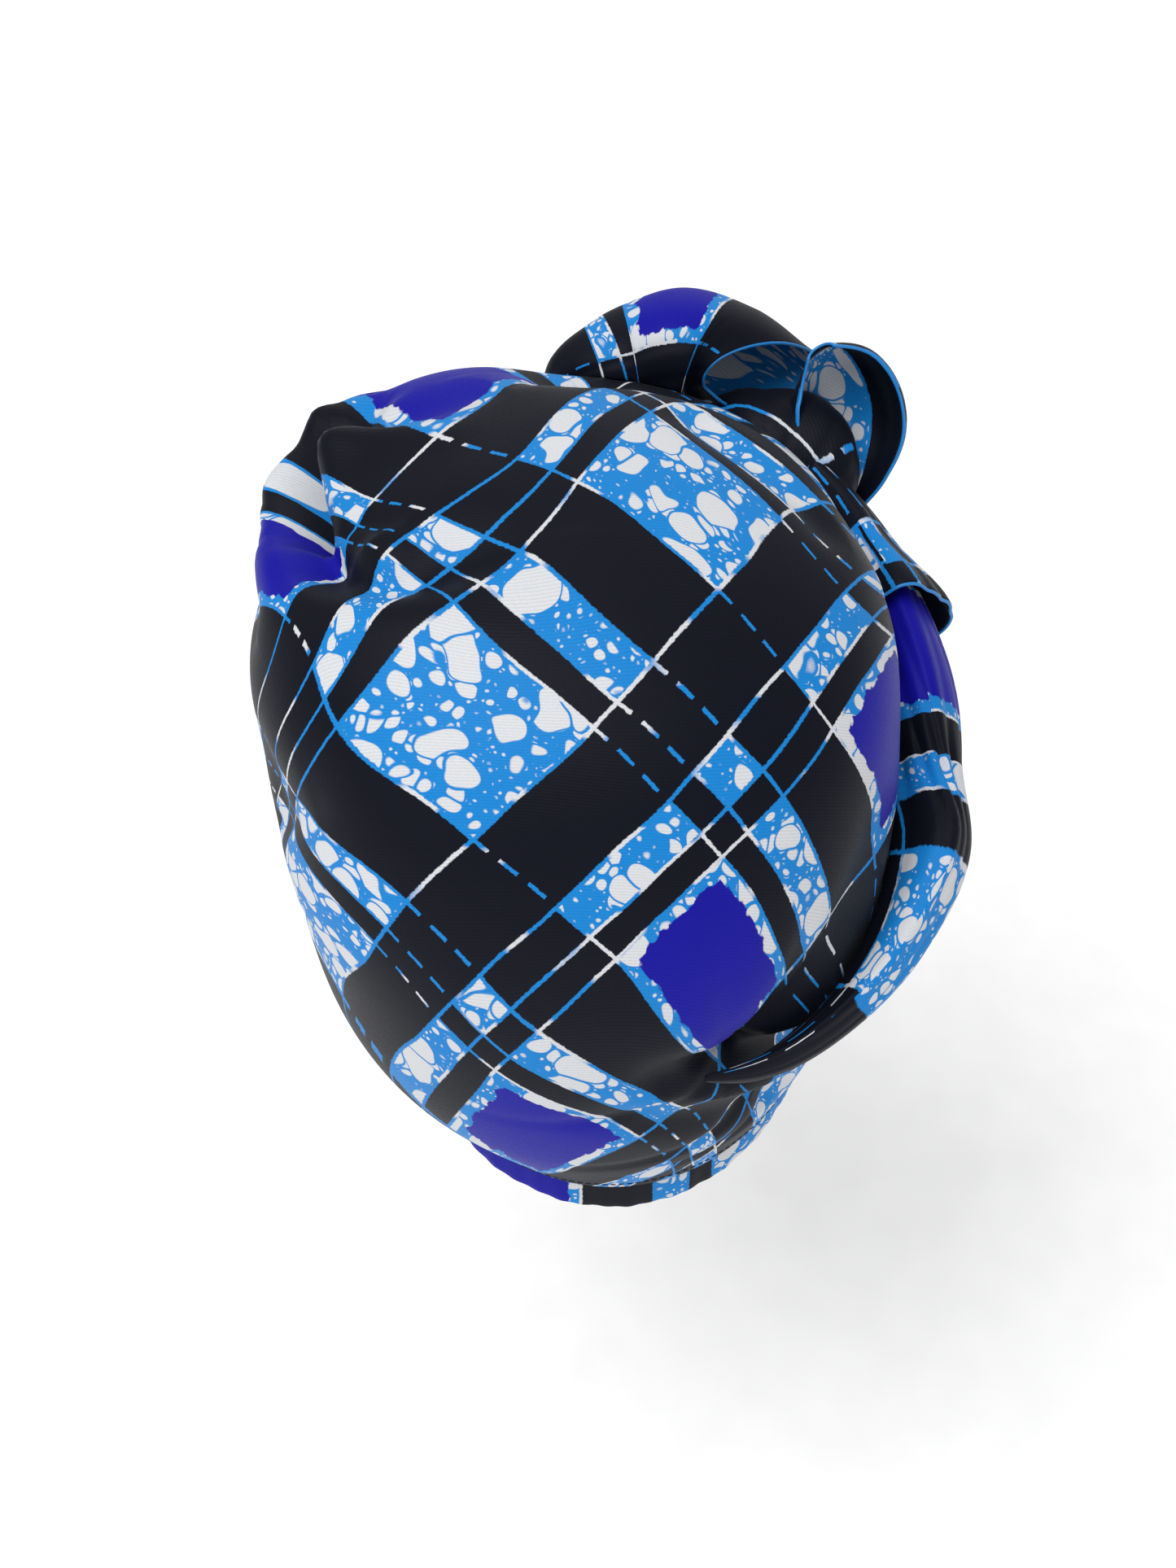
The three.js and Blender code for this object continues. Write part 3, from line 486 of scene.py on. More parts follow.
# Noises by their scale, one over a grain in millimetres, and their detail. The first three move the bands,
# the edges of the ink and the pebbles, by up to half their reach in millimetres each way.
SWAY, JAG, ROAM = (0.022, 1.0), (0.9, 2.0), (0.1, 0.5)
SWAY_REACH, JAG_REACH, ROAM_REACH = 5.0, 0.9, 6.0
ROYAL_EDGE, LINE_PALING = (0.16, 2.0), (0.045, 1.0)
# The first of the next three noises tones the wrong side of the cloth between two dark colours that are
# painted shade.
LINING_SHADE_GRAIN, MOTTLE, SLUB = (0.08, 3.0), (1.4, 2.0), (0.9, 3.0)

TWILL_SCALE = 0.44  # in the wave's own measure, 0.444 divided by the pitch in millimetres
TWILL_BEND = 0.8
TWILL_TONE, MOTTLE_TONE, LEAST_TONE = 0.12, 0.2, 0.84
TWILL_HEIGHT, SLUB_HEIGHT = 0.5, 0.7
SATIN_BUMP = {"Strength": 0.16, "Distance": 0.0003}
SATIN_ROUGH, LINING_ROUGH, SLUB_ROUGH = 0.42, 0.55, 0.16
SATIN_SHINE = {"IOR": 1.5, "Sheen Weight": 0.02, "Sheen Roughness": 0.45, "Specular IOR Level": 0.1}

# The plain finishes: roughness, the scale of the grain and its depth in metres
FINISHES = {
    "spun polyester thread": (0.6, 900, 0.0002),
    "satin binding": (0.45, 260, 0.0002),
    "matt white paper": (0.9, 40, 0.0001),
}
GRAIN_DETAIL = 3.0
GRAIN_TONE, LEAST_GRAIN_TONE = 0.12, 0.94
GRAIN_BUMP = 0.3


class PrintMap:
    """Where each point of the cap lies in the flat print, in millimetres."""

    def __init__(self, cap):
        self.heart, self.pole = np.array(CAP_HEART), unit(np.array(CAP_SPREAD))
        self.east = unit(np.cross(UP, self.pole))
        self.north = np.cross(self.pole, self.east)
        chart = np.array(PRINT_CHART)
        self.knots = cap.base(np.radians(chart[:, 2]), chart[:, 3])
        flat = self.spread(self.knots)
        self.affine = np.linalg.lstsq(flat, chart[:, :2], rcond=None)[0]
        left = chart[:, :2] - flat @ self.affine
        pull = self.pull(self.knots) + CHART_EASE * np.eye(len(chart))
        self.weights = np.linalg.solve(pull, left)

    def spread(self, points):
        """Points spread out flat from the pole, with a column of ones."""
        away = unit(points - self.heart)
        reach = np.arccos(np.clip(away @ self.pole, -1, 1)) * SPREAD_RADIUS
        x, y = away @ self.east, away @ self.north
        size = np.maximum(np.hypot(x, y), TINY)
        return np.stack((reach * x / size, reach * y / size, np.ones(len(points))), 1)

    def pull(self, points):
        """How strongly each charted crossing holds each point."""
        gap = np.linalg.norm(points[:, None] - self.knots[None], axis=2)
        return np.exp(-((gap / CHART_REACH) ** 2))

    def places(self, points):
        """The print's s and t at each point."""
        return self.spread(points) @ self.affine + self.pull(points) @ self.weights


def linear(hex_colour):
    """An sRGB hex colour as linear red, green, blue and alpha."""
    parts = [int(hex_colour[i : i + 2], 16) / 255 for i in (1, 3, 5)]
    return [p / 12.92 if p <= 0.04045 else ((p + 0.055) / 1.055) ** 2.4 for p in parts] + [1.0]


def add(tree, kind, links=(), **settings):
    """Adds a node to a tree with its settings, and links sockets or sets values into its inputs."""
    node = tree.nodes.new(kind)
    for name, value in settings.items():
        setattr(node, name, value)
    for socket, value in dict(links).items():
        if isinstance(value, bpy.types.NodeSocket):
            tree.links.new(value, node.inputs[socket])
        else:
            node.inputs[socket].default_value = value
    return node


def work(tree, operation, *values):
    """One step of arithmetic between sockets and numbers."""
    return add(tree, "ShaderNodeMath", enumerate(values), operation=operation).outputs[0]


def noise(tree, place, grain):
    """A noise texture with a scale and a detail."""
    scale, detail = grain
    return add(tree, "ShaderNodeTexNoise", {"Vector": place, "Scale": scale, "Detail": detail})


def blend_colours(tree, share, low, high):
    """A colour that goes from low to high with share."""
    node = add(tree, "ShaderNodeMix", {0: share, 6: low, 7: high}, data_type="RGBA")
    return node.outputs[2]


def step_up(tree, value, edge, soft):
    """0 below an edge and 1 above it, over a soft width."""
    links = {"Value": value, "From Min": edge - soft / 2, "From Max": edge + soft / 2}
    return add(tree, "ShaderNodeMapRange", links).outputs[0]


def band_parts(tree, place):
    """For one way of the print: how far into the repeat, which band it is in and how near a line is."""
    share = work(tree, "DIVIDE", place, REPEAT)
    inside = work(tree, "MULTIPLY", work(tree, "FRACT", share), REPEAT)
    strip = work(tree, "LESS_THAN", inside, BANDS[0])
    past_thin = work(tree, "GREATER_THAN", inside, BANDS[1])
    before_block = work(tree, "LESS_THAN", inside, BANDS[2])
    wide = work(tree, "MULTIPLY", past_thin, before_block)
    near = inside
    for edge in BANDS:
        near = work(tree, "MINIMUM", near, work(tree, "ABSOLUTE", work(tree, "SUBTRACT", inside, edge)))
    block = work(tree, "GREATER_THAN", inside, BANDS[2])
    odd = work(tree, "GREATER_THAN", work(tree, "FRACT", work(tree, "DIVIDE", place, 2 * REPEAT)), 0.5)
    return {"inside": inside, "strip": strip, "wide": wide, "block": block, "near": near, "odd": odd}


def shifted(tree, place, grain, reach, by):
    """A place that a noise's colour at another place moves by up to half the reach each way."""
    links = {0: noise(tree, by, grain).outputs["Color"], 1: (0.5,) * 3}
    centred = add(tree, "ShaderNodeVectorMath", links, operation="SUBTRACT").outputs[0]
    moves = {0: centred, 1: (reach,) * 3, 2: place}
    return add(tree, "ShaderNodeVectorMath", moves, operation="MULTIPLY_ADD").outputs[0]


def pebble_share(tree, place):
    """1 in a pebble and 0 between pebbles: rounded cells of mixed size, with small ones in the gaps."""
    apart = None
    for size, least, spread, groove in PEBBLE_SIZES:
        scaled = {"Vector": place, "Scale": 1 / size, "Randomness": PEBBLE_SCATTER}
        edge = add(tree, "ShaderNodeTexVoronoi", scaled, feature="DISTANCE_TO_EDGE").outputs["Distance"]
        cell = add(tree, "ShaderNodeTexVoronoi", scaled, feature="F1")
        tint = add(tree, "ShaderNodeSeparateColor", {0: cell.outputs["Color"]})
        radius = work(tree, "MULTIPLY_ADD", tint.outputs[0], spread * size, least * size)
        round_ = work(tree, "MULTIPLY_ADD", cell.outputs["Distance"], -size, radius)
        walls = work(tree, "MULTIPLY_ADD", edge, size, -groove)
        # How far inside a pebble a point lies, with corners rounded where its limits meet
        inside = work(tree, "SMOOTH_MIN", round_, walls, ROUNDING)
        if apart is not None:
            clear = work(tree, "MULTIPLY_ADD", apart, -1.0, -CLEARANCE)
            inside = work(tree, "MAXIMUM", apart, work(tree, "MINIMUM", inside, clear))
        apart = inside
    return step_up(tree, apart, 0.0, INK_EDGE)


def cloth_print(tree, uv, colours):
    """The printed plaid as a colour, from places in millimetres."""
    swayed = shifted(tree, uv, SWAY, SWAY_REACH, uv)
    split = add(tree, "ShaderNodeSeparateXYZ", {0: shifted(tree, swayed, JAG, JAG_REACH, uv)})
    over_place = work(tree, "ADD", split.outputs[1], CROSS_SHIFT)
    down, over = band_parts(tree, split.outputs[0]), band_parts(tree, over_place)
    white_share = pebble_share(tree, shifted(tree, swayed, ROAM, ROAM_REACH, uv))
    pebbles = blend_colours(tree, white_share, colours["blue"], colours["white"])

    # The royal cells, with a wavy edge inside a pebbled border
    border = work(tree, "MINIMUM", down["near"], over["near"])
    wave = work(tree, "MULTIPLY_ADD", noise(tree, uv, ROYAL_EDGE).outputs["Fac"], -BORDER_WAVE, border)
    royal = work(tree, "MULTIPLY", down["odd"], work(tree, "MULTIPLY", down["wide"], over["wide"]))
    royal = work(tree, "MULTIPLY", royal, step_up(tree, wave, BORDER, BORDER_SOFT))
    fill = blend_colours(tree, royal, pebbles, colours["royal"])

    # Bands that cross: pebbles where a wide or a strip meets another, and black elsewhere
    filled = [work(tree, "ADD", way["strip"], way["wide"]) for way in (down, over)]
    ground = blend_colours(tree, work(tree, "MULTIPLY", *filled), colours["black"], fill)

    # The lines: solid one way, dashed the other way across the blocks
    pitch = work(tree, "FRACT", work(tree, "DIVIDE", down["inside"], DASH))
    no_block = work(tree, "SUBTRACT", 1.0, down["block"])
    kept = work(tree, "MAXIMUM", work(tree, "LESS_THAN", pitch, DASH_SHARE), no_block)
    solid, crossing = (
        work(tree, "SUBTRACT", 1.0, step_up(tree, way["near"], LINE / 2, INK_EDGE)) for way in (down, over)
    )
    lines = work(tree, "MAXIMUM", solid, work(tree, "MULTIPLY", crossing, kept))
    pale = step_up(tree, noise(tree, uv, LINE_PALING).outputs["Fac"], PALE_FROM, PALE_SOFT)
    line_colour = blend_colours(tree, pale, colours["blue"], colours["white"])
    return blend_colours(tree, lines, ground, line_colour)


def printed_satin(name, colours, lining=False):
    """Printed polyester satin: a smooth, softly shining twill whose threads show as fine slanting lines."""
    material = bpy.data.materials.new(name)
    material.use_nodes = True
    tree = material.node_tree
    tree.nodes.clear()
    uv = add(tree, "ShaderNodeUVMap", uv_map="print").outputs[0]
    if lining:
        # The wrong side of the cloth, which lines the cap and the loose end: its dull finish is the cloth's
        # own, and its dark navy is painted shade for these hollows
        tone = noise(tree, uv, LINING_SHADE_GRAIN).outputs["Fac"]
        colour = blend_colours(tree, tone, colours["black"], colours["shade"])
    else:
        colour = cloth_print(tree, uv, colours)
    # The dye lies a little unevenly over the threads
    mottle = noise(tree, uv, MOTTLE).outputs["Fac"]
    # Twill threads are 0.3 mm apart. They are drawn 1 mm apart, so that they show at all.
    threads = {"Vector": uv, "Scale": TWILL_SCALE, "Distortion": TWILL_BEND, "Detail": 1.0}
    twill = add(tree, "ShaderNodeTexWave", threads, bands_direction="DIAGONAL").outputs["Fac"]
    dye = work(tree, "MULTIPLY_ADD", mottle, MOTTLE_TONE, LEAST_TONE)
    tone = work(tree, "MULTIPLY_ADD", twill, TWILL_TONE, dye)
    shade = add(tree, "ShaderNodeHueSaturation", {"Value": tone, "Color": colour}).outputs[0]
    slub = noise(tree, uv, SLUB).outputs["Fac"]
    height = work(tree, "MULTIPLY_ADD", slub, SLUB_HEIGHT, work(tree, "MULTIPLY", twill, TWILL_HEIGHT))
    bump = add(tree, "ShaderNodeBump", SATIN_BUMP | {"Height": height}).outputs[0]
    rough = work(tree, "MULTIPLY_ADD", slub, SLUB_ROUGH, LINING_ROUGH if lining else SATIN_ROUGH)
    links = SATIN_SHINE | {"Base Color": shade, "Roughness": rough, "Normal": bump}
    surface = add(tree, "ShaderNodeBsdfPrincipled", links)
    add(tree, "ShaderNodeOutputMaterial", {0: surface.outputs[0]})
    return material


def plain_material(name, colour, roughness, grain, depth):
    """A plain finish with a fine grain, for the thread, the binding and the floor."""
    material = bpy.data.materials.new(name)
    material.use_nodes = True
    tree = material.node_tree
    surface = tree.nodes["Principled BSDF"]
    place = add(tree, "ShaderNodeTexCoord").outputs["Object"]
    fine = noise(tree, place, (grain, GRAIN_DETAIL)).outputs["Fac"]
    tone = work(tree, "MULTIPLY_ADD", fine, GRAIN_TONE, LEAST_GRAIN_TONE)
    shade = add(tree, "ShaderNodeHueSaturation", {"Value": tone, "Color": colour}).outputs[0]
    tree.links.new(shade, surface.inputs["Base Color"])
    bump = add(tree, "ShaderNodeBump", {"Strength": GRAIN_BUMP, "Distance": depth, "Height": fine}).outputs[0]
    tree.links.new(bump, surface.inputs["Normal"])
    surface.inputs["Roughness"].default_value = roughness
    return material


def material_once(name, maker, *values, **named):
    """A material by its name, made the first time that it is asked for."""
    return bpy.data.materials.get(name) or maker(name, *values, **named)


def cloth_colours():
    """The dye colours of the print, and the dark colour for the thread and for the painted shade on the wrong
    side, as the settings give them.
    """
    size = bpy.context.scene.head_wrap
    return {name: tuple(getattr(size, name)) for name in ("black", "blue", "white", "royal", "shade")}


def satin():
    """The printed face of the cloth."""
    return material_once("printed polyester satin", printed_satin, cloth_colours())


def lining():
    """The wrong side of the cloth, coloured dark as painted shade."""
    return material_once("satin wrong side", printed_satin, cloth_colours(), lining=True)


def plain(name, colour):
    """One of the plain finishes in a colour."""
    return material_once(name, plain_material, colour, *FINISHES[name])


def linked(name, data):
    """A new object for its data, in the scene."""
    item = bpy.data.objects.new(name, data)
    bpy.context.scene.collection.objects.link(item)
    return item


def mesh_piece(name, points, faces, slots, corners):
    """A smooth mesh object from points, faces, each face's material slot and each corner's print place."""
    mesh = bpy.data.meshes.new(name)
    mesh.from_pydata([tuple(p) for p in points], [], [tuple(f) for f in faces])
    layer = mesh.uv_layers.new(name="print")
    layer.data.foreach_set("uv", np.asarray(corners, np.float32).ravel())
    for material in (satin(), lining()):
        mesh.materials.append(material)
    mesh.polygons.foreach_set("material_index", np.asarray(slots, np.int32))
    mesh.polygons.foreach_set("use_smooth", np.ones(len(mesh.polygons), bool))
    mesh.update()
    return linked(name, mesh)


def ring_faces(rows, sides):
    """Quads between rings of points that are numbered in order."""
    i, j = np.meshgrid(np.arange(rows - 1), np.arange(sides), indexing="ij")
    here, there = i * sides + j, i * sides + (j + 1) % sides
    return np.stack((here, there, there + sides, here + sides), -1).reshape(-1, 4).tolist()


def fan_faces(ring, tip, flip=False):
    """Triangles from a ring of point numbers to a tip."""
    pairs = list(zip(ring, list(ring[1:]) + [ring[0]]))
    return [(b, a, tip) if flip else (a, b, tip) for a, b in pairs]


def dress(piece, node):
    """Lets a piece stand for its node and ride on the body."""
    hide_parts(node)
    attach(piece, "root")


def rest_on(points, skin, reach, gap):
    """Points that lie under the cap's skin, or nearer than a gap off it, are pressed out to that gap."""
    moved = np.array(points, float).reshape(-1, 3)
    for k, point in enumerate(moved):
        spot, facing, _, _ = skin.find_nearest(Vector(point), reach)
        if spot is not None and (Vector(point) - spot).dot(facing) < gap:
            moved[k] = spot + facing * gap
    return moved.reshape(np.shape(points))


def lay_print(s, t):
    """The print's s for each ring and t round it, as one grid of places."""
    return np.stack(np.broadcast_arrays(s, t), -1)


def spread_print(face, rows, sides):
    """A grid of places that covers one face of the cloth evenly."""
    s0, s1, t0, t1 = face
    along, across = np.linspace(0, 1, rows + 1)[:, None], np.linspace(0, 1, sides + 1)[None, :]
    return lay_print(s0 + along * s1, t0 + across * t1)


def ends(rings):
    """The middles of the first and the last ring."""
    return rings[0].mean(0), rings[-1].mean(0)


def tube_piece(name, rings, uv, tips=(None, None), inner_rows=()):
    """A piece from rings of points that close round, with the print place of each ring's corners."""
    rows, sides = rings.shape[:2]
    points = rings.reshape(-1, 3)
    faces = ring_faces(rows, sides)
    corners = np.stack((uv[:-1, :-1], uv[:-1, 1:], uv[1:, 1:], uv[1:, :-1]), 2).reshape(-1, 2)
    slots = np.repeat([int(i in inner_rows) for i in range(rows - 1)], sides)
    for row, tip, flip in ((0, tips[0], True), (rows - 1, tips[1], False)):
        if tip is None:
            continue
        ring = [row * sides + j for j in range(sides)]
        faces += fan_faces(ring, len(points), flip)
        points = np.vstack((points, tip))
        middle = np.broadcast_to(uv[row].mean(0), (sides, 2))
        here, there = uv[row, :-1], uv[row, 1:]
        order = (there, here, middle) if flip else (here, there, middle)
        corners = np.vstack((corners, np.stack(order, 1).reshape(-1, 2)))
        slots = np.append(slots, np.full(sides, int(min(row, rows - 2) in inner_rows)))
    return mesh_piece(name, points, faces, slots, corners)


CAP_ROWS, CAP_TURNS = 140, 300
LINING_ROWS = 44
SKIN_ROWS, SKIN_TURNS = 90, 220  # of the skin that the tail is tested against
SKIN_TOP = 0.995  # as far up the cap as that skin goes
ROLL_REACH, KNOT_REACH = 0.012, 0.03  # how near the skin a point is tested, on the roll and elsewhere
RIM = (0.0006, 0.0009, 0.0006)  # how far the folded edge of the cloth stands down at its rim
RIM_SHARES = (0.2, 0.5, 0.8)  # where on the way from the inside to the outside

BAND_TURNS = 480
BAND_SPLIT = -90  # the turn in degrees at which the band's two ends are joined, at the brow
BAND_PRINT = (82, 182, 1.47)  # at this turn the print's s is this, and grows by this many mm each degree
BAND_PRINT_START = 8  # the print's t at the band's lower edge
BAND_RIPPLES = ((61, 0.00015), (23, 0.0002))  # how many go round, and how deep they are
BAND_WANDER = (3, 1.7)  # how unevenly they are spread round, as a wave's count and depth
BAND_EASE = 0.0002  # how far the ripples draw the band in
BAND_BEND_STEPS, BAND_WALL_STEPS = 7, 10

# The print along the roll, from the nape to the knot: a place along it, the print's s there,
# and, in degrees round the roll, where the middle of a wide band lies
ROLL_PRINT = (
    (0, 313, 100), (0.1, 305, 95), (0.27, 287, 75), (0.47, 235, 45), (0.555, 224, 35), (0.605, 210, 25),
    (0.66, 182, 15), (0.82, 140, 5), (0.88, 104, 0), (1, 79, 0),
)
WIDE_MIDDLE = 26  # the middle of a wide band, in millimetres of the print
ROLL_STEPS, ROLL_SIDES, ROLL_GIRTH = 240, 110, 112
END_STEPS = 60
# The print's s where the loose end begins and where it ends, and how far its t is shifted
END_PRINT, END_PRINT_SHIFT = (128, 84), 62
PETAL_CLOTH = 0.6  # the share of a petal's wall that its cloth takes, without the wired edge
EDGE_RISE = 0.5  # how far the edge of a petal runs on past its last ring, as a share of a step
KNOT_ROWS, KNOT_SIDES = 90, 160
# The print on the knot and in each face of the petals: s at its start, how far it runs, and the same for t
KNOT_PRINT = (52, 74, 40, 96)
TOP_PETAL_STEPS, TOP_PETAL_SIDES = 110, 120
TOP_PETAL_FLOOR = 0.16  # its hollow starts here along it
# The print along the top petal, from its root to its mouth, and round it
TOP_PETAL_PRINT = (
    (0, 78), (0.24, 104), (0.31, 118), (0.4, 130), (0.476, 135), (0.678, 177), (0.72, 182), (1, 209),
)
TOP_PETAL_FACE, TOP_PETAL_GIRTH = 75, 126
TOP_PETAL_INSIDE = (30, 50, 320)  # inside, s at the start, how far it runs, and the wide band's middle
TOP_PETAL_SAG = (0.007, 235)  # how far its underside sinks, and the angle at which it sinks most
SIDE_PETAL_STEPS, SIDE_PETAL_SIDES = 70, 60
SIDE_PETAL_INSIDE = (22, 60, 8, 66)
SIDE_PETAL_OUTSIDE = (78, 26, 52, 28)


def tail_and_skin(size):
    """The tail's shapes, and a search tree over the outside of the cap, on which they rest."""
    cap = Cap(size)
    along = np.linspace(0, SKIN_TOP, SKIN_ROWS)[:, None]
    points = cap.skin(full_turn(SKIN_TURNS), along).reshape(-1, 3)
    skin = BVHTree.FromPolygons([Vector(p) for p in points], ring_faces(SKIN_ROWS, SKIN_TURNS))
    return Tail(size, cap), skin


def make_cap():
    """The cap: one sheet of printed satin, gathered to the band and folded into the side pocket."""
    size = bpy.context.scene.head_wrap
    cap = Cap(size)
    turn = full_turn(CAP_TURNS)
    outer = np.linspace(0, 1, CAP_ROWS + 1)[:-1, None]
    inner = np.linspace(1, 0, LINING_ROWS + 1)[1:, None]
    outside, inside = cap.skin(turn, outer), cap.skin(turn, inner, -size.cloth)
    share = np.array(RIM_SHARES)[:, None, None]
    rim = inside[-1] + (outside[0] - inside[-1]) * share - UP * np.array(RIM)[:, None, None]
    rings = np.concatenate((inside, rim, outside))
    tips = (cap.skin(0.0, 1.0, -size.cloth), cap.skin(0.0, 1.0))
    hem = np.repeat(cap.base(turn, outer[:1]), len(RIM), 0)
    base = np.concatenate((cap.base(turn, inner), hem, cap.base(turn, outer)))
    places = PrintMap(cap).places(base.reshape(-1, 3)).reshape(*base.shape[:2], 2)
    uv = np.concatenate((places, places[:, :1]), 1)
    # The inside rows take the wrong side of the cloth, whose dark colour is painted shade.
    piece = tube_piece("crown_cloth", rings, uv, tips, range(LINING_ROWS - 1))
    dress(piece, "crown")


def make_band():
    """The band: satin folded over elastic, which draws it into fine ripples."""
    size = bpy.context.scene.head_wrap
    cap = Cap(size)
    row = {name: values[0] for name, values in cap.table.items()}
    turn = np.radians(BAND_SPLIT) + np.linspace(0, 2 * np.pi, BAND_TURNS, endpoint=False)
    waves, uneven = BAND_WANDER
    wander = uneven * np.sin(waves * turn)
    start, wall = size.cloth + size.gap, size.band_wall
    low, high = -size.band_drop, size.band_tuck
    middle, half = start + wall / 2, wall / 2
    bend = np.linspace(0, math.pi, BAND_BEND_STEPS)
    rise = np.linspace(low + half, high - half, BAND_WALL_STEPS)[1:-1]
    lower = [(middle - math.cos(a) * half, low + half - math.sin(a) * half) for a in bend]
    upper = [(middle + math.cos(a) * half, high - half + math.sin(a) * half) for a in bend]
    section = lower + [(start + wall, z) for z in rise] + upper + [(start, z) for z in rise[::-1]]
    section = section[::-1]
    rings = []
    for shrink, lift in section + section[:1]:
        share = smoothstep(-lift, 0.0, size.band_drop)
        ripple = sum(deep * np.sin(count * turn + wander) for count, deep in BAND_RIPPLES)
        rings.append(cap.ring(row, turn, shrink + (ripple + BAND_EASE) * share, lift))
    rings = np.array(rings)
    at_turn, at_s, growth = BAND_PRINT
    degrees = BAND_SPLIT + np.linspace(0, 360, BAND_TURNS + 1)
    s = at_s + (degrees - at_turn) * growth
    t = np.array([BAND_PRINT_START + (lift - low) / MM for _, lift in section + section[:1]])
    piece = tube_piece("band_cloth", rings, lay_print(s[None, :], t[:, None]))
    dress(piece, "hem_band")


def make_roll():
    """The wound tail at the wearer's right, and its loose end lying back over it."""
    size = bpy.context.scene.head_wrap
    tail, skin = tail_and_skin(size)
    s = np.linspace(0, 1, ROLL_STEPS + 1)
    rings = tail.roll_rings(s, ROLL_SIDES, np.zeros(ROLL_STEPS + 1))
    rings = rest_on(rings, skin, ROLL_REACH, size.gap)
    places, print_s, faces = np.array(ROLL_PRINT).T
    around = np.linspace(0, 360, ROLL_SIDES + 1)[None, :]
    t = WIDE_MIDDLE + (around - np.interp(s, places, faces)[:, None]) * ROLL_GIRTH / 360
    uv = lay_print(np.interp(s, places, print_s)[:, None], t)
    piece = tube_piece("roll_cloth", rings, uv, ends(rings))
    dress(piece, "side_roll")

    s = np.linspace(END_START, 1, END_STEPS + 1)
    off = size.gap + size.end_flare * (1 - smoothstep(s, END_START, (END_START + 1) / 2))
    wall = size.petal_wall * PETAL_CLOTH
    inside, outside = (tail.roll_rings(s, ROLL_SIDES, off + more) for more in (0.0, wall))
    rim = (inside[0] + outside[0]) / 2 + (outside[0] - outside[1]) * EDGE_RISE
    rings = np.concatenate((inside[::-1], rim[None], outside))
    rings = rest_on(rings, skin, ROLL_REACH, size.gap)
    places = np.interp(s, (END_START, 1), END_PRINT)
    along = np.concatenate((places[::-1], places[:1], places))
    t = WIDE_MIDDLE + around * ROLL_GIRTH / 360 + END_PRINT_SHIFT
    uv = lay_print(along[:, None], t)
    closing = np.concatenate((rings, rings[:1]))
    # The loose end's inside, against the roll, takes the wrong side of the cloth, whose dark colour is
    # painted shade.
    piece = tube_piece("end_cloth", closing, np.concatenate((uv, uv[:1])), inner_rows=range(END_STEPS))
    dress(piece, "tail_end")
    pipe("end_piping", rim, True)


def make_knot():
    """The knot: the tail wound round itself and pulled tight."""
    size = bpy.context.scene.head_wrap
    tail, skin = tail_and_skin(size)
    rings = rest_on(tail.knot_rings(KNOT_ROWS, KNOT_SIDES), skin, KNOT_REACH, size.gap)
    uv = spread_print(KNOT_PRINT, KNOT_ROWS, KNOT_SIDES)
    piece = tube_piece("knot_cloth", rings[1:-1], uv[1:-1], ends(rings))
    dress(piece, "knot")


def make_petals():
    """The two open petals that stand from the knot."""
    size = bpy.context.scene.head_wrap
    tail, skin = tail_and_skin(size)
    steps, sides = TOP_PETAL_STEPS, TOP_PETAL_SIDES
    wall = size.petal_wall * PETAL_CLOTH
    s = np.linspace(0, 1, steps + 1)
    outside = tail.top_petal_rings(s, sides, 0.0)
    inner = s[s > TOP_PETAL_FLOOR]
    inside = tail.top_petal_rings(inner, sides, wall)[::-1]
    rim = (inside[0] + outside[-1]) / 2 + (outside[-1] - outside[-2]) * EDGE_RISE
    rings = np.concatenate((outside, rim[None], inside))
    sag, lowest = TOP_PETAL_SAG
    places = np.concatenate((s, s[-1:], inner[::-1]))
    under = np.cos(np.radians(np.arange(sides) * 360 / sides - lowest)).clip(0, 1) ** 2
    rings[..., 2] -= sag * np.sin(np.pi * places**2)[:, None] * under
    rings = rest_on(rings, skin, KNOT_REACH, size.gap)
    shares, print_s = np.array(TOP_PETAL_PRINT).T
    hidden_start, hidden_run, hidden_face = TOP_PETAL_INSIDE
    along = np.interp(np.append(s, 1), shares, print_s)
    along = np.concatenate((along, hidden_start + inner[::-1] * hidden_run))
    faces = np.where(np.arange(len(along)) < steps + 2, TOP_PETAL_FACE, hidden_face)
    around = np.linspace(0, 360, sides + 1)[None, :]
    t = WIDE_MIDDLE + (around - faces[:, None]) * TOP_PETAL_GIRTH / 360
    piece = tube_piece("top_petal_cloth", rings, lay_print(along[:, None], t), ends(rings))
    dress(piece, "petal_top")
    pipe("top_petal_piping", rim, True)

    grid = SIDE_PETAL_STEPS, SIDE_PETAL_SIDES
    front, back = (tail.side_petal_grid(*grid, inward) for inward in (0.0, wall))
    rings = np.concatenate((front[:, ::-1], back), 1)
    outer, hollow = (spread_print(face, *grid) for face in (SIDE_PETAL_OUTSIDE, SIDE_PETAL_INSIDE))
    uv = np.concatenate((outer[:, ::-1], hollow, outer[:, -1:]), 1)
    piece = tube_piece("side_petal_cloth", rings, uv, ends(rings))
    dress(piece, "petal_side")
    edge = (front + back) / 2
    path = np.concatenate((edge[:, 0], edge[-1, 1:-1], edge[::-1, -1]))
    pipe("side_petal_piping", path, False)


STITCH_SHARE = 0.36  # half a stitch's length, as a share of the pitch
STITCH_STEPS = 720  # of the line that the stitches follow
STITCH_PROUD = 0.0001


def node_group(name, sockets):
    """An empty Geometry Nodes tree with a geometry in and out, and named inputs with their defaults."""
    tree = bpy.data.node_groups.new(name, "GeometryNodeTree")
    tree.interface.new_socket("Geometry", in_out="INPUT", socket_type="NodeSocketGeometry")
    tree.interface.new_socket("Geometry", in_out="OUTPUT", socket_type="NodeSocketGeometry")
    for label, kind, default in sockets:
        socket = tree.interface.new_socket(label, in_out="INPUT", socket_type=kind)
        if default is not None:
            socket.default_value = default
    return tree, add(tree, "NodeGroupInput"), add(tree, "NodeGroupOutput")


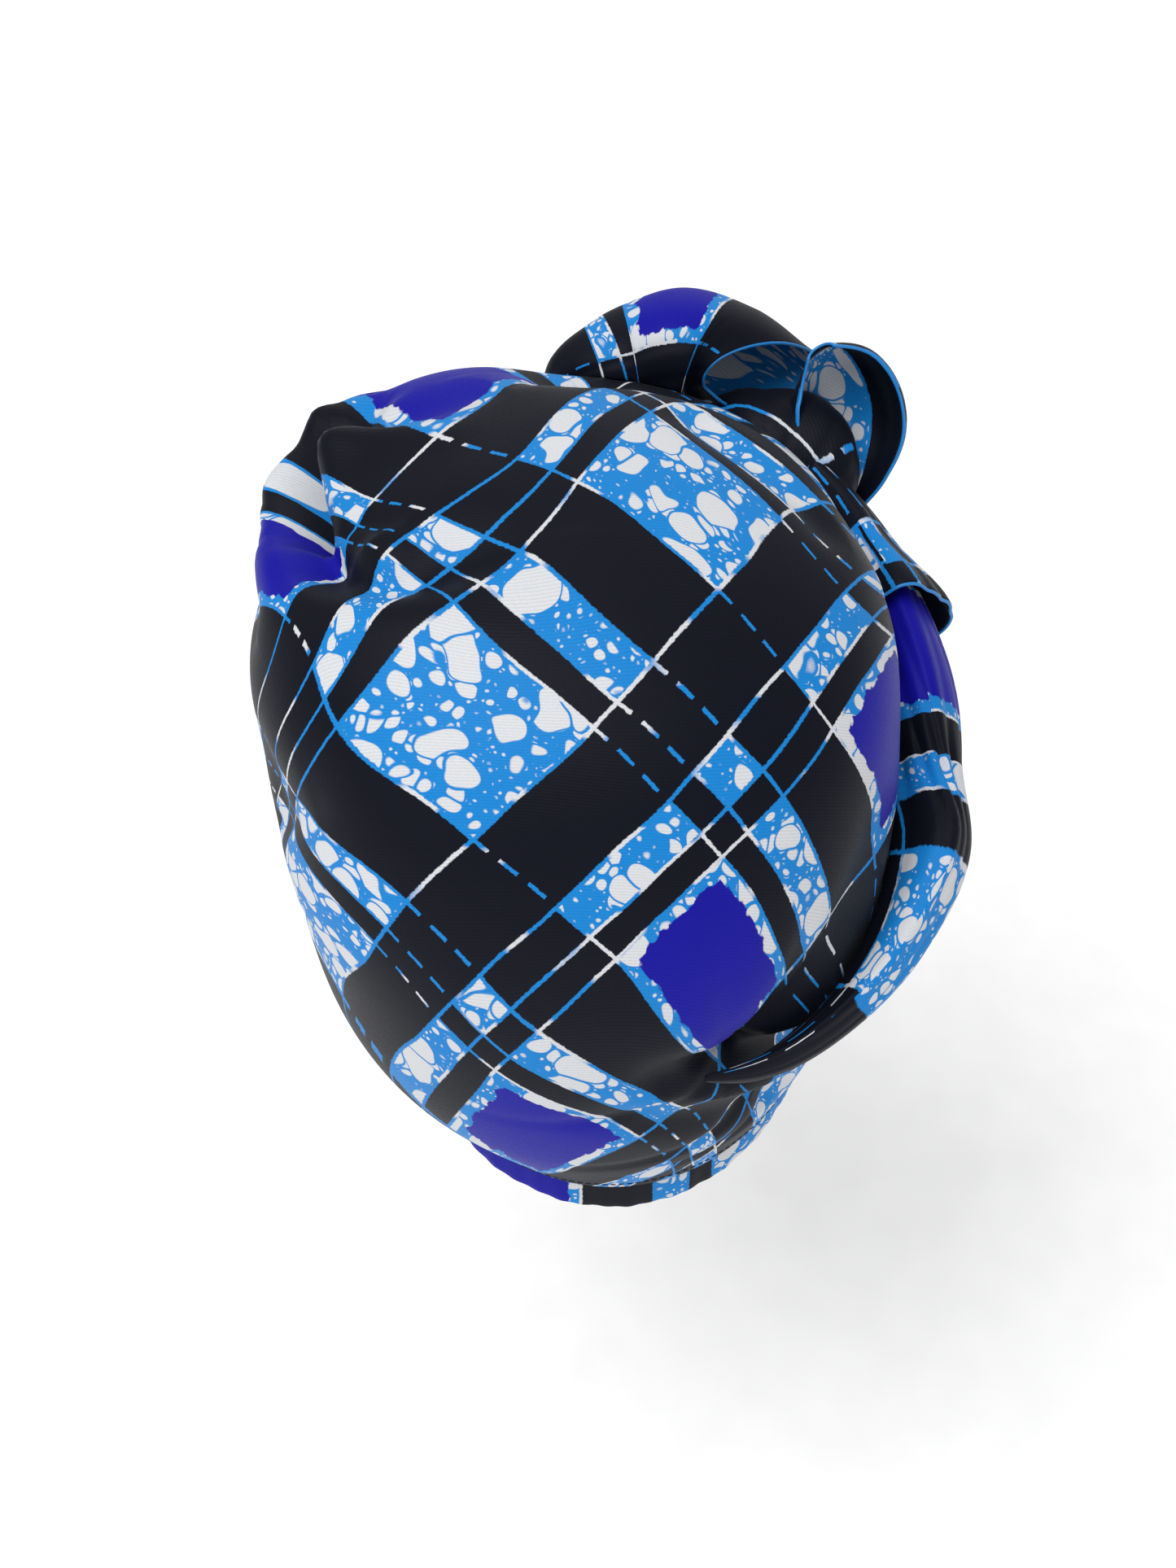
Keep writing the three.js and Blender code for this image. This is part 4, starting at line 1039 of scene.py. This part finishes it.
def pipe_tree():
    """Nodes that run a round cord of cloth along an edge."""
    found = bpy.data.node_groups.get("wired edge")
    if found:
        return found
    sockets = [
        ("Radius", "NodeSocketFloat", 0.001),
        ("Sides", "NodeSocketInt", 8),
        ("Material", "NodeSocketMaterial", None),
    ]
    tree, start, end = node_group("wired edge", sockets)
    path = add(tree, "GeometryNodeMeshToCurve", {0: start.outputs["Geometry"]})
    round_ = {"Resolution": start.outputs["Sides"], "Radius": start.outputs["Radius"]}
    ring = add(tree, "GeometryNodeCurvePrimitiveCircle", round_)
    drawn = {"Curve": path.outputs[0], "Profile Curve": ring.outputs[0], "Fill Caps": True}
    cord = add(tree, "GeometryNodeCurveToMesh", drawn)
    smooth = add(tree, "GeometryNodeSetShadeSmooth", {0: cord.outputs[0]})
    real = add(tree, "GeometryNodeRealizeInstances", {0: smooth.outputs[0]})
    finish = {"Geometry": real.outputs[0], "Material": start.outputs["Material"]}
    done = add(tree, "GeometryNodeSetMaterial", finish)
    tree.links.new(done.outputs[0], end.inputs[0])
    return tree


def stitch_tree():
    """Nodes that set one short stitch after another along a line."""
    sockets = [
        ("Pitch", "NodeSocketFloat", 0.003),
        ("Thickness", "NodeSocketFloat", 0.0003),
        ("Material", "NodeSocketMaterial", None),
    ]
    tree, start, end = node_group("lock stitches", sockets)
    path = add(tree, "GeometryNodeMeshToCurve", {0: start.outputs["Geometry"]})
    spacing = {"Curve": path.outputs[0], "Length": start.outputs["Pitch"]}
    spots = add(tree, "GeometryNodeCurveToPoints", spacing, mode="LENGTH")
    thick, half = start.outputs["Thickness"], work(tree, "MULTIPLY", start.outputs["Pitch"], STITCH_SHARE)
    size = add(tree, "ShaderNodeCombineXYZ", {0: thick, 1: thick, 2: half})
    stitch = add(tree, "GeometryNodeMeshUVSphere", {"Segments": 6, "Rings": 5, "Radius": 1.0})
    laid = {"Points": spots.outputs["Points"], "Instance": stitch.outputs[0]}
    laid |= {"Rotation": spots.outputs["Rotation"], "Scale": size.outputs[0]}
    placed = add(tree, "GeometryNodeInstanceOnPoints", laid)
    real = add(tree, "GeometryNodeRealizeInstances", {0: placed.outputs[0]})
    smooth = add(tree, "GeometryNodeSetShadeSmooth", {0: real.outputs[0]})
    finish = {"Geometry": smooth.outputs[0], "Material": start.outputs["Material"]}
    done = add(tree, "GeometryNodeSetMaterial", finish)
    tree.links.new(done.outputs[0], end.inputs[0])
    return tree


def grown(name, path, closed, tree, values):
    """A plain mesh object that a Geometry Nodes tree grows on a path of points."""
    count = len(path)
    edges = [(i, i + 1) for i in range(count - 1)] + ([(count - 1, 0)] if closed else [])
    mesh = bpy.data.meshes.new(name + ".path")
    mesh.from_pydata([tuple(p) for p in path], edges, [])
    holder = linked(name + ".path", mesh)
    modifier = holder.modifiers.new("grow", "NODES")
    modifier.node_group = tree
    for item in tree.interface.items_tree:
        if item.in_out == "INPUT" and item.name in values:
            modifier[item.identifier] = values[item.name]
    holder.update_tag()
    evaluated = holder.evaluated_get(bpy.context.evaluated_depsgraph_get())
    result = bpy.data.meshes.new_from_object(evaluated)
    bpy.data.objects.remove(holder)
    return linked(name, result)


def pipe(name, path, closed):
    """The wired edge of a petal or of the loose end: a thin cord of the same cloth."""
    cloth = plain("satin binding", cloth_colours()["blue"])
    values = {"Radius": bpy.context.scene.head_wrap.edge_radius, "Material": cloth}
    piece = grown(name, path, closed, pipe_tree(), values)
    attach(piece, "root")


def make_stitches():
    """The line of stitches that holds the folded edge of the cap to the band."""
    size = bpy.context.scene.head_wrap
    cap = Cap(size)
    turn = np.linspace(0, 2 * np.pi, STITCH_STEPS, endpoint=False)
    line = cap.skin(turn, size.stitch_height / size.crown_height, STITCH_PROUD)
    thread = plain("spun polyester thread", cloth_colours()["shade"])
    values = {"Pitch": size.stitch_pitch, "Material": thread}
    piece = grown("hem_stitches", line, True, stitch_tree(), values)
    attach(piece, "root")


CAMERA_TARGET = (0.008, 0.0, 0.092)
CAMERA_DISTANCE = 0.62
CAMERA_HEIGHT = 38  # degrees above the level, from behind
PHOTO_SIZE = (1445, 1927)
PHOTO_FOCUS = 2250  # the focal length in the photo's pixels
SENSOR = 36.0
FLOOR_COLOUR = "#F7F7F7"
FLOOR_DROP = 0.32
FLOOR_REACH = 6.0
FLOOR_GLOW = 0.14
# Each light: where it shines from, how wide it looks in degrees, and its strength
LIGHTS = {
    "key": ((0.35, 0.5, 1.0), 40, 2.1),
    "brow": ((-0.3, -0.9, 0.8), 70, 0.5),
}
WORLD_LIGHT = 0.36


def make_stage():
    """A pale floor, soft studio lights and the camera."""
    material = plain("matt white paper", linear(FLOOR_COLOUR))
    glow = material.node_tree.nodes["Principled BSDF"]
    glow.inputs["Emission Color"].default_value = (1, 1, 1, 1)
    glow.inputs["Emission Strength"].default_value = FLOOR_GLOW
    mesh = bpy.data.meshes.new("floor")
    signs = ((-1, -1), (1, -1), (1, 1), (-1, 1))
    corners = [(FLOOR_REACH * x, FLOOR_REACH * y, -FLOOR_DROP) for x, y in signs]
    mesh.from_pydata(corners, [], [(0, 1, 2, 3)])
    mesh.materials.append(material)
    floor = linked("floor", mesh)
    for name, (place, width, strength) in LIGHTS.items():
        data = bpy.data.lights.new(name, "SUN")
        data.angle, data.energy = math.radians(width), strength
        lamp = linked(name, data)
        lamp.location = place
        lamp.rotation_euler = (-Vector(place)).to_track_quat("-Z", "Y").to_euler()
    world = bpy.data.worlds.new("studio")
    world.use_nodes = True
    sky = world.node_tree.nodes["Background"]
    sky.inputs[0].default_value = (1, 1, 1, 1)
    sky.inputs[1].default_value = WORLD_LIGHT
    bpy.context.scene.world = world
    bpy.context.scene.view_settings.view_transform = "Standard"
    height = math.radians(CAMERA_HEIGHT)
    data = bpy.data.cameras.new("camera")
    data.sensor_width = SENSOR
    data.lens = PHOTO_FOCUS / PHOTO_SIZE[1] * SENSOR
    camera = linked("camera", data)
    away = Vector((0, math.cos(height), math.sin(height)))
    camera.location = Vector(CAMERA_TARGET) + away * CAMERA_DISTANCE
    camera.rotation_euler = (-away).to_track_quat("-Z", "Y").to_euler()
    bpy.context.scene.camera = camera


def length(label, default, about):
    """A length setting in metres."""
    return bpy.props.FloatProperty(
        name=label, description=about, default=default, min=0.0, subtype="DISTANCE", unit="LENGTH"
    )


def colour(label, default, about):
    """A dye colour setting."""
    return bpy.props.FloatVectorProperty(name=label, description=about, default=linear(default), size=4,
                                         subtype="COLOR", min=0.0, max=1.0)


class HeadWrapSettings(bpy.types.PropertyGroup):
    """The sizes and colours of the head wrap."""

    cloth: length("Cloth", 0.002, "The cap's wall: print cloth and its backing")
    band_wall: length("Band wall", 0.002, "Cloth folded over elastic")
    petal_wall: length("Petal wall", 0.0022, "Two layers of cloth with a wired edge")
    gap: length("Gap", 0.00035, "Between pieces that touch")
    head_width: length("Head width", 0.147, "Inside the band, ear to ear")
    nape_reach: length("Nape reach", 0.08, "Inside the band, from the middle to the nape")
    brow_reach: length("Brow reach", 0.096, "Inside the band, from the middle to the brow")
    hem_tilt: bpy.props.FloatProperty(name="Hem tilt", description="How far the brow side stands higher",
                                      default=math.radians(18), subtype="ANGLE", unit="ROTATION")
    hem_rise: length("Hem rise", 0.0123, "The cap's hem above the middle of the opening")
    band_drop: length("Band drop", 0.015, "How far the band shows below the cap's hem")
    band_tuck: length("Band tuck", 0.009, "How far the band reaches up inside the cap")
    crown_height: length("Cap height", 0.22, "From the middle of the opening to the top")
    crown_width: length("Cap width", 0.202, "Side to side")
    crown_depth: length("Cap depth", 0.226, "Brow to back")
    fold_depth: length("Fold depth", 0.02, "The deepest fold, which the fold table's shares follow")
    roll_thickness: length("Roll thickness", 0.029, "Through the wound tail")
    roll_width: length("Roll width", 0.042, "Across the wound tail")
    roll_seat: length("Roll seat", 0.0025, "How deep the roll presses on the cap")
    knot_size: length("Knot size", 0.048, "Across the knot's middle")
    top_petal_length: length("Top petal length", 0.086, "From its root to its mouth")
    top_petal_height: length("Top petal height", 0.034, "Across its mouth, up and down")
    top_petal_depth: length("Top petal depth", 0.046, "Across its mouth, front to back")
    side_petal_length: length("Side petal length", 0.068, "From the knot to its tip")
    side_petal_width: length("Side petal width", 0.04, "Across its cup")
    end_flare: length("End flare", 0.006, "How far the loose end stands off the roll")
    edge_radius: length("Edge radius", 0.0006, "The wired edge's cord")
    stitch_pitch: length("Stitch pitch", 0.0028, "From one stitch to the next")
    stitch_height: length("Stitch height", 0.004, "The stitch line above the cap's hem")
    black: colour("Ground", "#0F111D", "The navy black ground")
    blue: colour("Blue", "#1C86D4", "The light blue between the pebbles")
    white: colour("White", "#DADCE0", "The pale pebbles")
    royal: colour("Royal", "#17129E", "The royal blue cells")
    # The thread's own colour, and one of the two dark colours of the wrong side, which are painted shade.
    shade: colour("Wrong side", "#1B1E3A", "The cloth's wrong side and the thread")


class MakeCap(bpy.types.Operator):
    """Makes the printed cap"""

    bl_idname = "head_wrap.cap"
    bl_label = "Cap"

    def execute(self, context):
        make_cap()
        return {"FINISHED"}


class MakeBand(bpy.types.Operator):
    """Makes the band round the opening and the stitches above it"""

    bl_idname = "head_wrap.band"
    bl_label = "Band and stitches"

    def execute(self, context):
        make_band()
        make_stitches()
        return {"FINISHED"}


class MakeRoll(bpy.types.Operator):
    """Makes the wound side roll and its loose end"""

    bl_idname = "head_wrap.roll"
    bl_label = "Side roll"

    def execute(self, context):
        make_roll()
        return {"FINISHED"}


class MakeKnot(bpy.types.Operator):
    """Makes the knot between the right ear and the brow"""

    bl_idname = "head_wrap.knot"
    bl_label = "Knot"

    def execute(self, context):
        make_knot()
        return {"FINISHED"}


class MakePetals(bpy.types.Operator):
    """Makes the two petals of the tail"""

    bl_idname = "head_wrap.petals"
    bl_label = "Petals"

    def execute(self, context):
        make_petals()
        return {"FINISHED"}


class MakeStage(bpy.types.Operator):
    """Makes the floor, the lights and the camera"""

    bl_idname = "head_wrap.stage"
    bl_label = "Stage"

    def execute(self, context):
        make_stage()
        return {"FINISHED"}


OPERATORS = (MakeCap, MakeBand, MakeRoll, MakeKnot, MakePetals, MakeStage)


class HeadWrapPanel(bpy.types.Panel):
    """Lists the head wrap's pieces and sizes"""

    bl_idname = "VIEW3D_PT_head_wrap"
    bl_label = "Head wrap"
    bl_space_type = "VIEW_3D"
    bl_region_type = "UI"
    bl_category = "Head wrap"

    def draw(self, context):
        for operator in OPERATORS:
            self.layout.operator(operator.bl_idname)
        for name in HeadWrapSettings.__annotations__:
            self.layout.prop(context.scene.head_wrap, name)


CLASSES = (HeadWrapSettings, *OPERATORS, HeadWrapPanel)


def register():
    """Registers the classes and the settings."""
    for cls in CLASSES:
        bpy.utils.register_class(cls)
    bpy.types.Scene.head_wrap = bpy.props.PointerProperty(type=HeadWrapSettings)


def unregister():
    """Takes the classes and the settings away again."""
    del bpy.types.Scene.head_wrap
    for cls in reversed(CLASSES):
        bpy.utils.unregister_class(cls)


def main():
    """Makes every piece and the stage."""
    register()
    for operator in OPERATORS:
        area, name = operator.bl_idname.split(".")
        getattr(getattr(bpy.ops, area), name)()


if __name__ == "__main__":
    main()
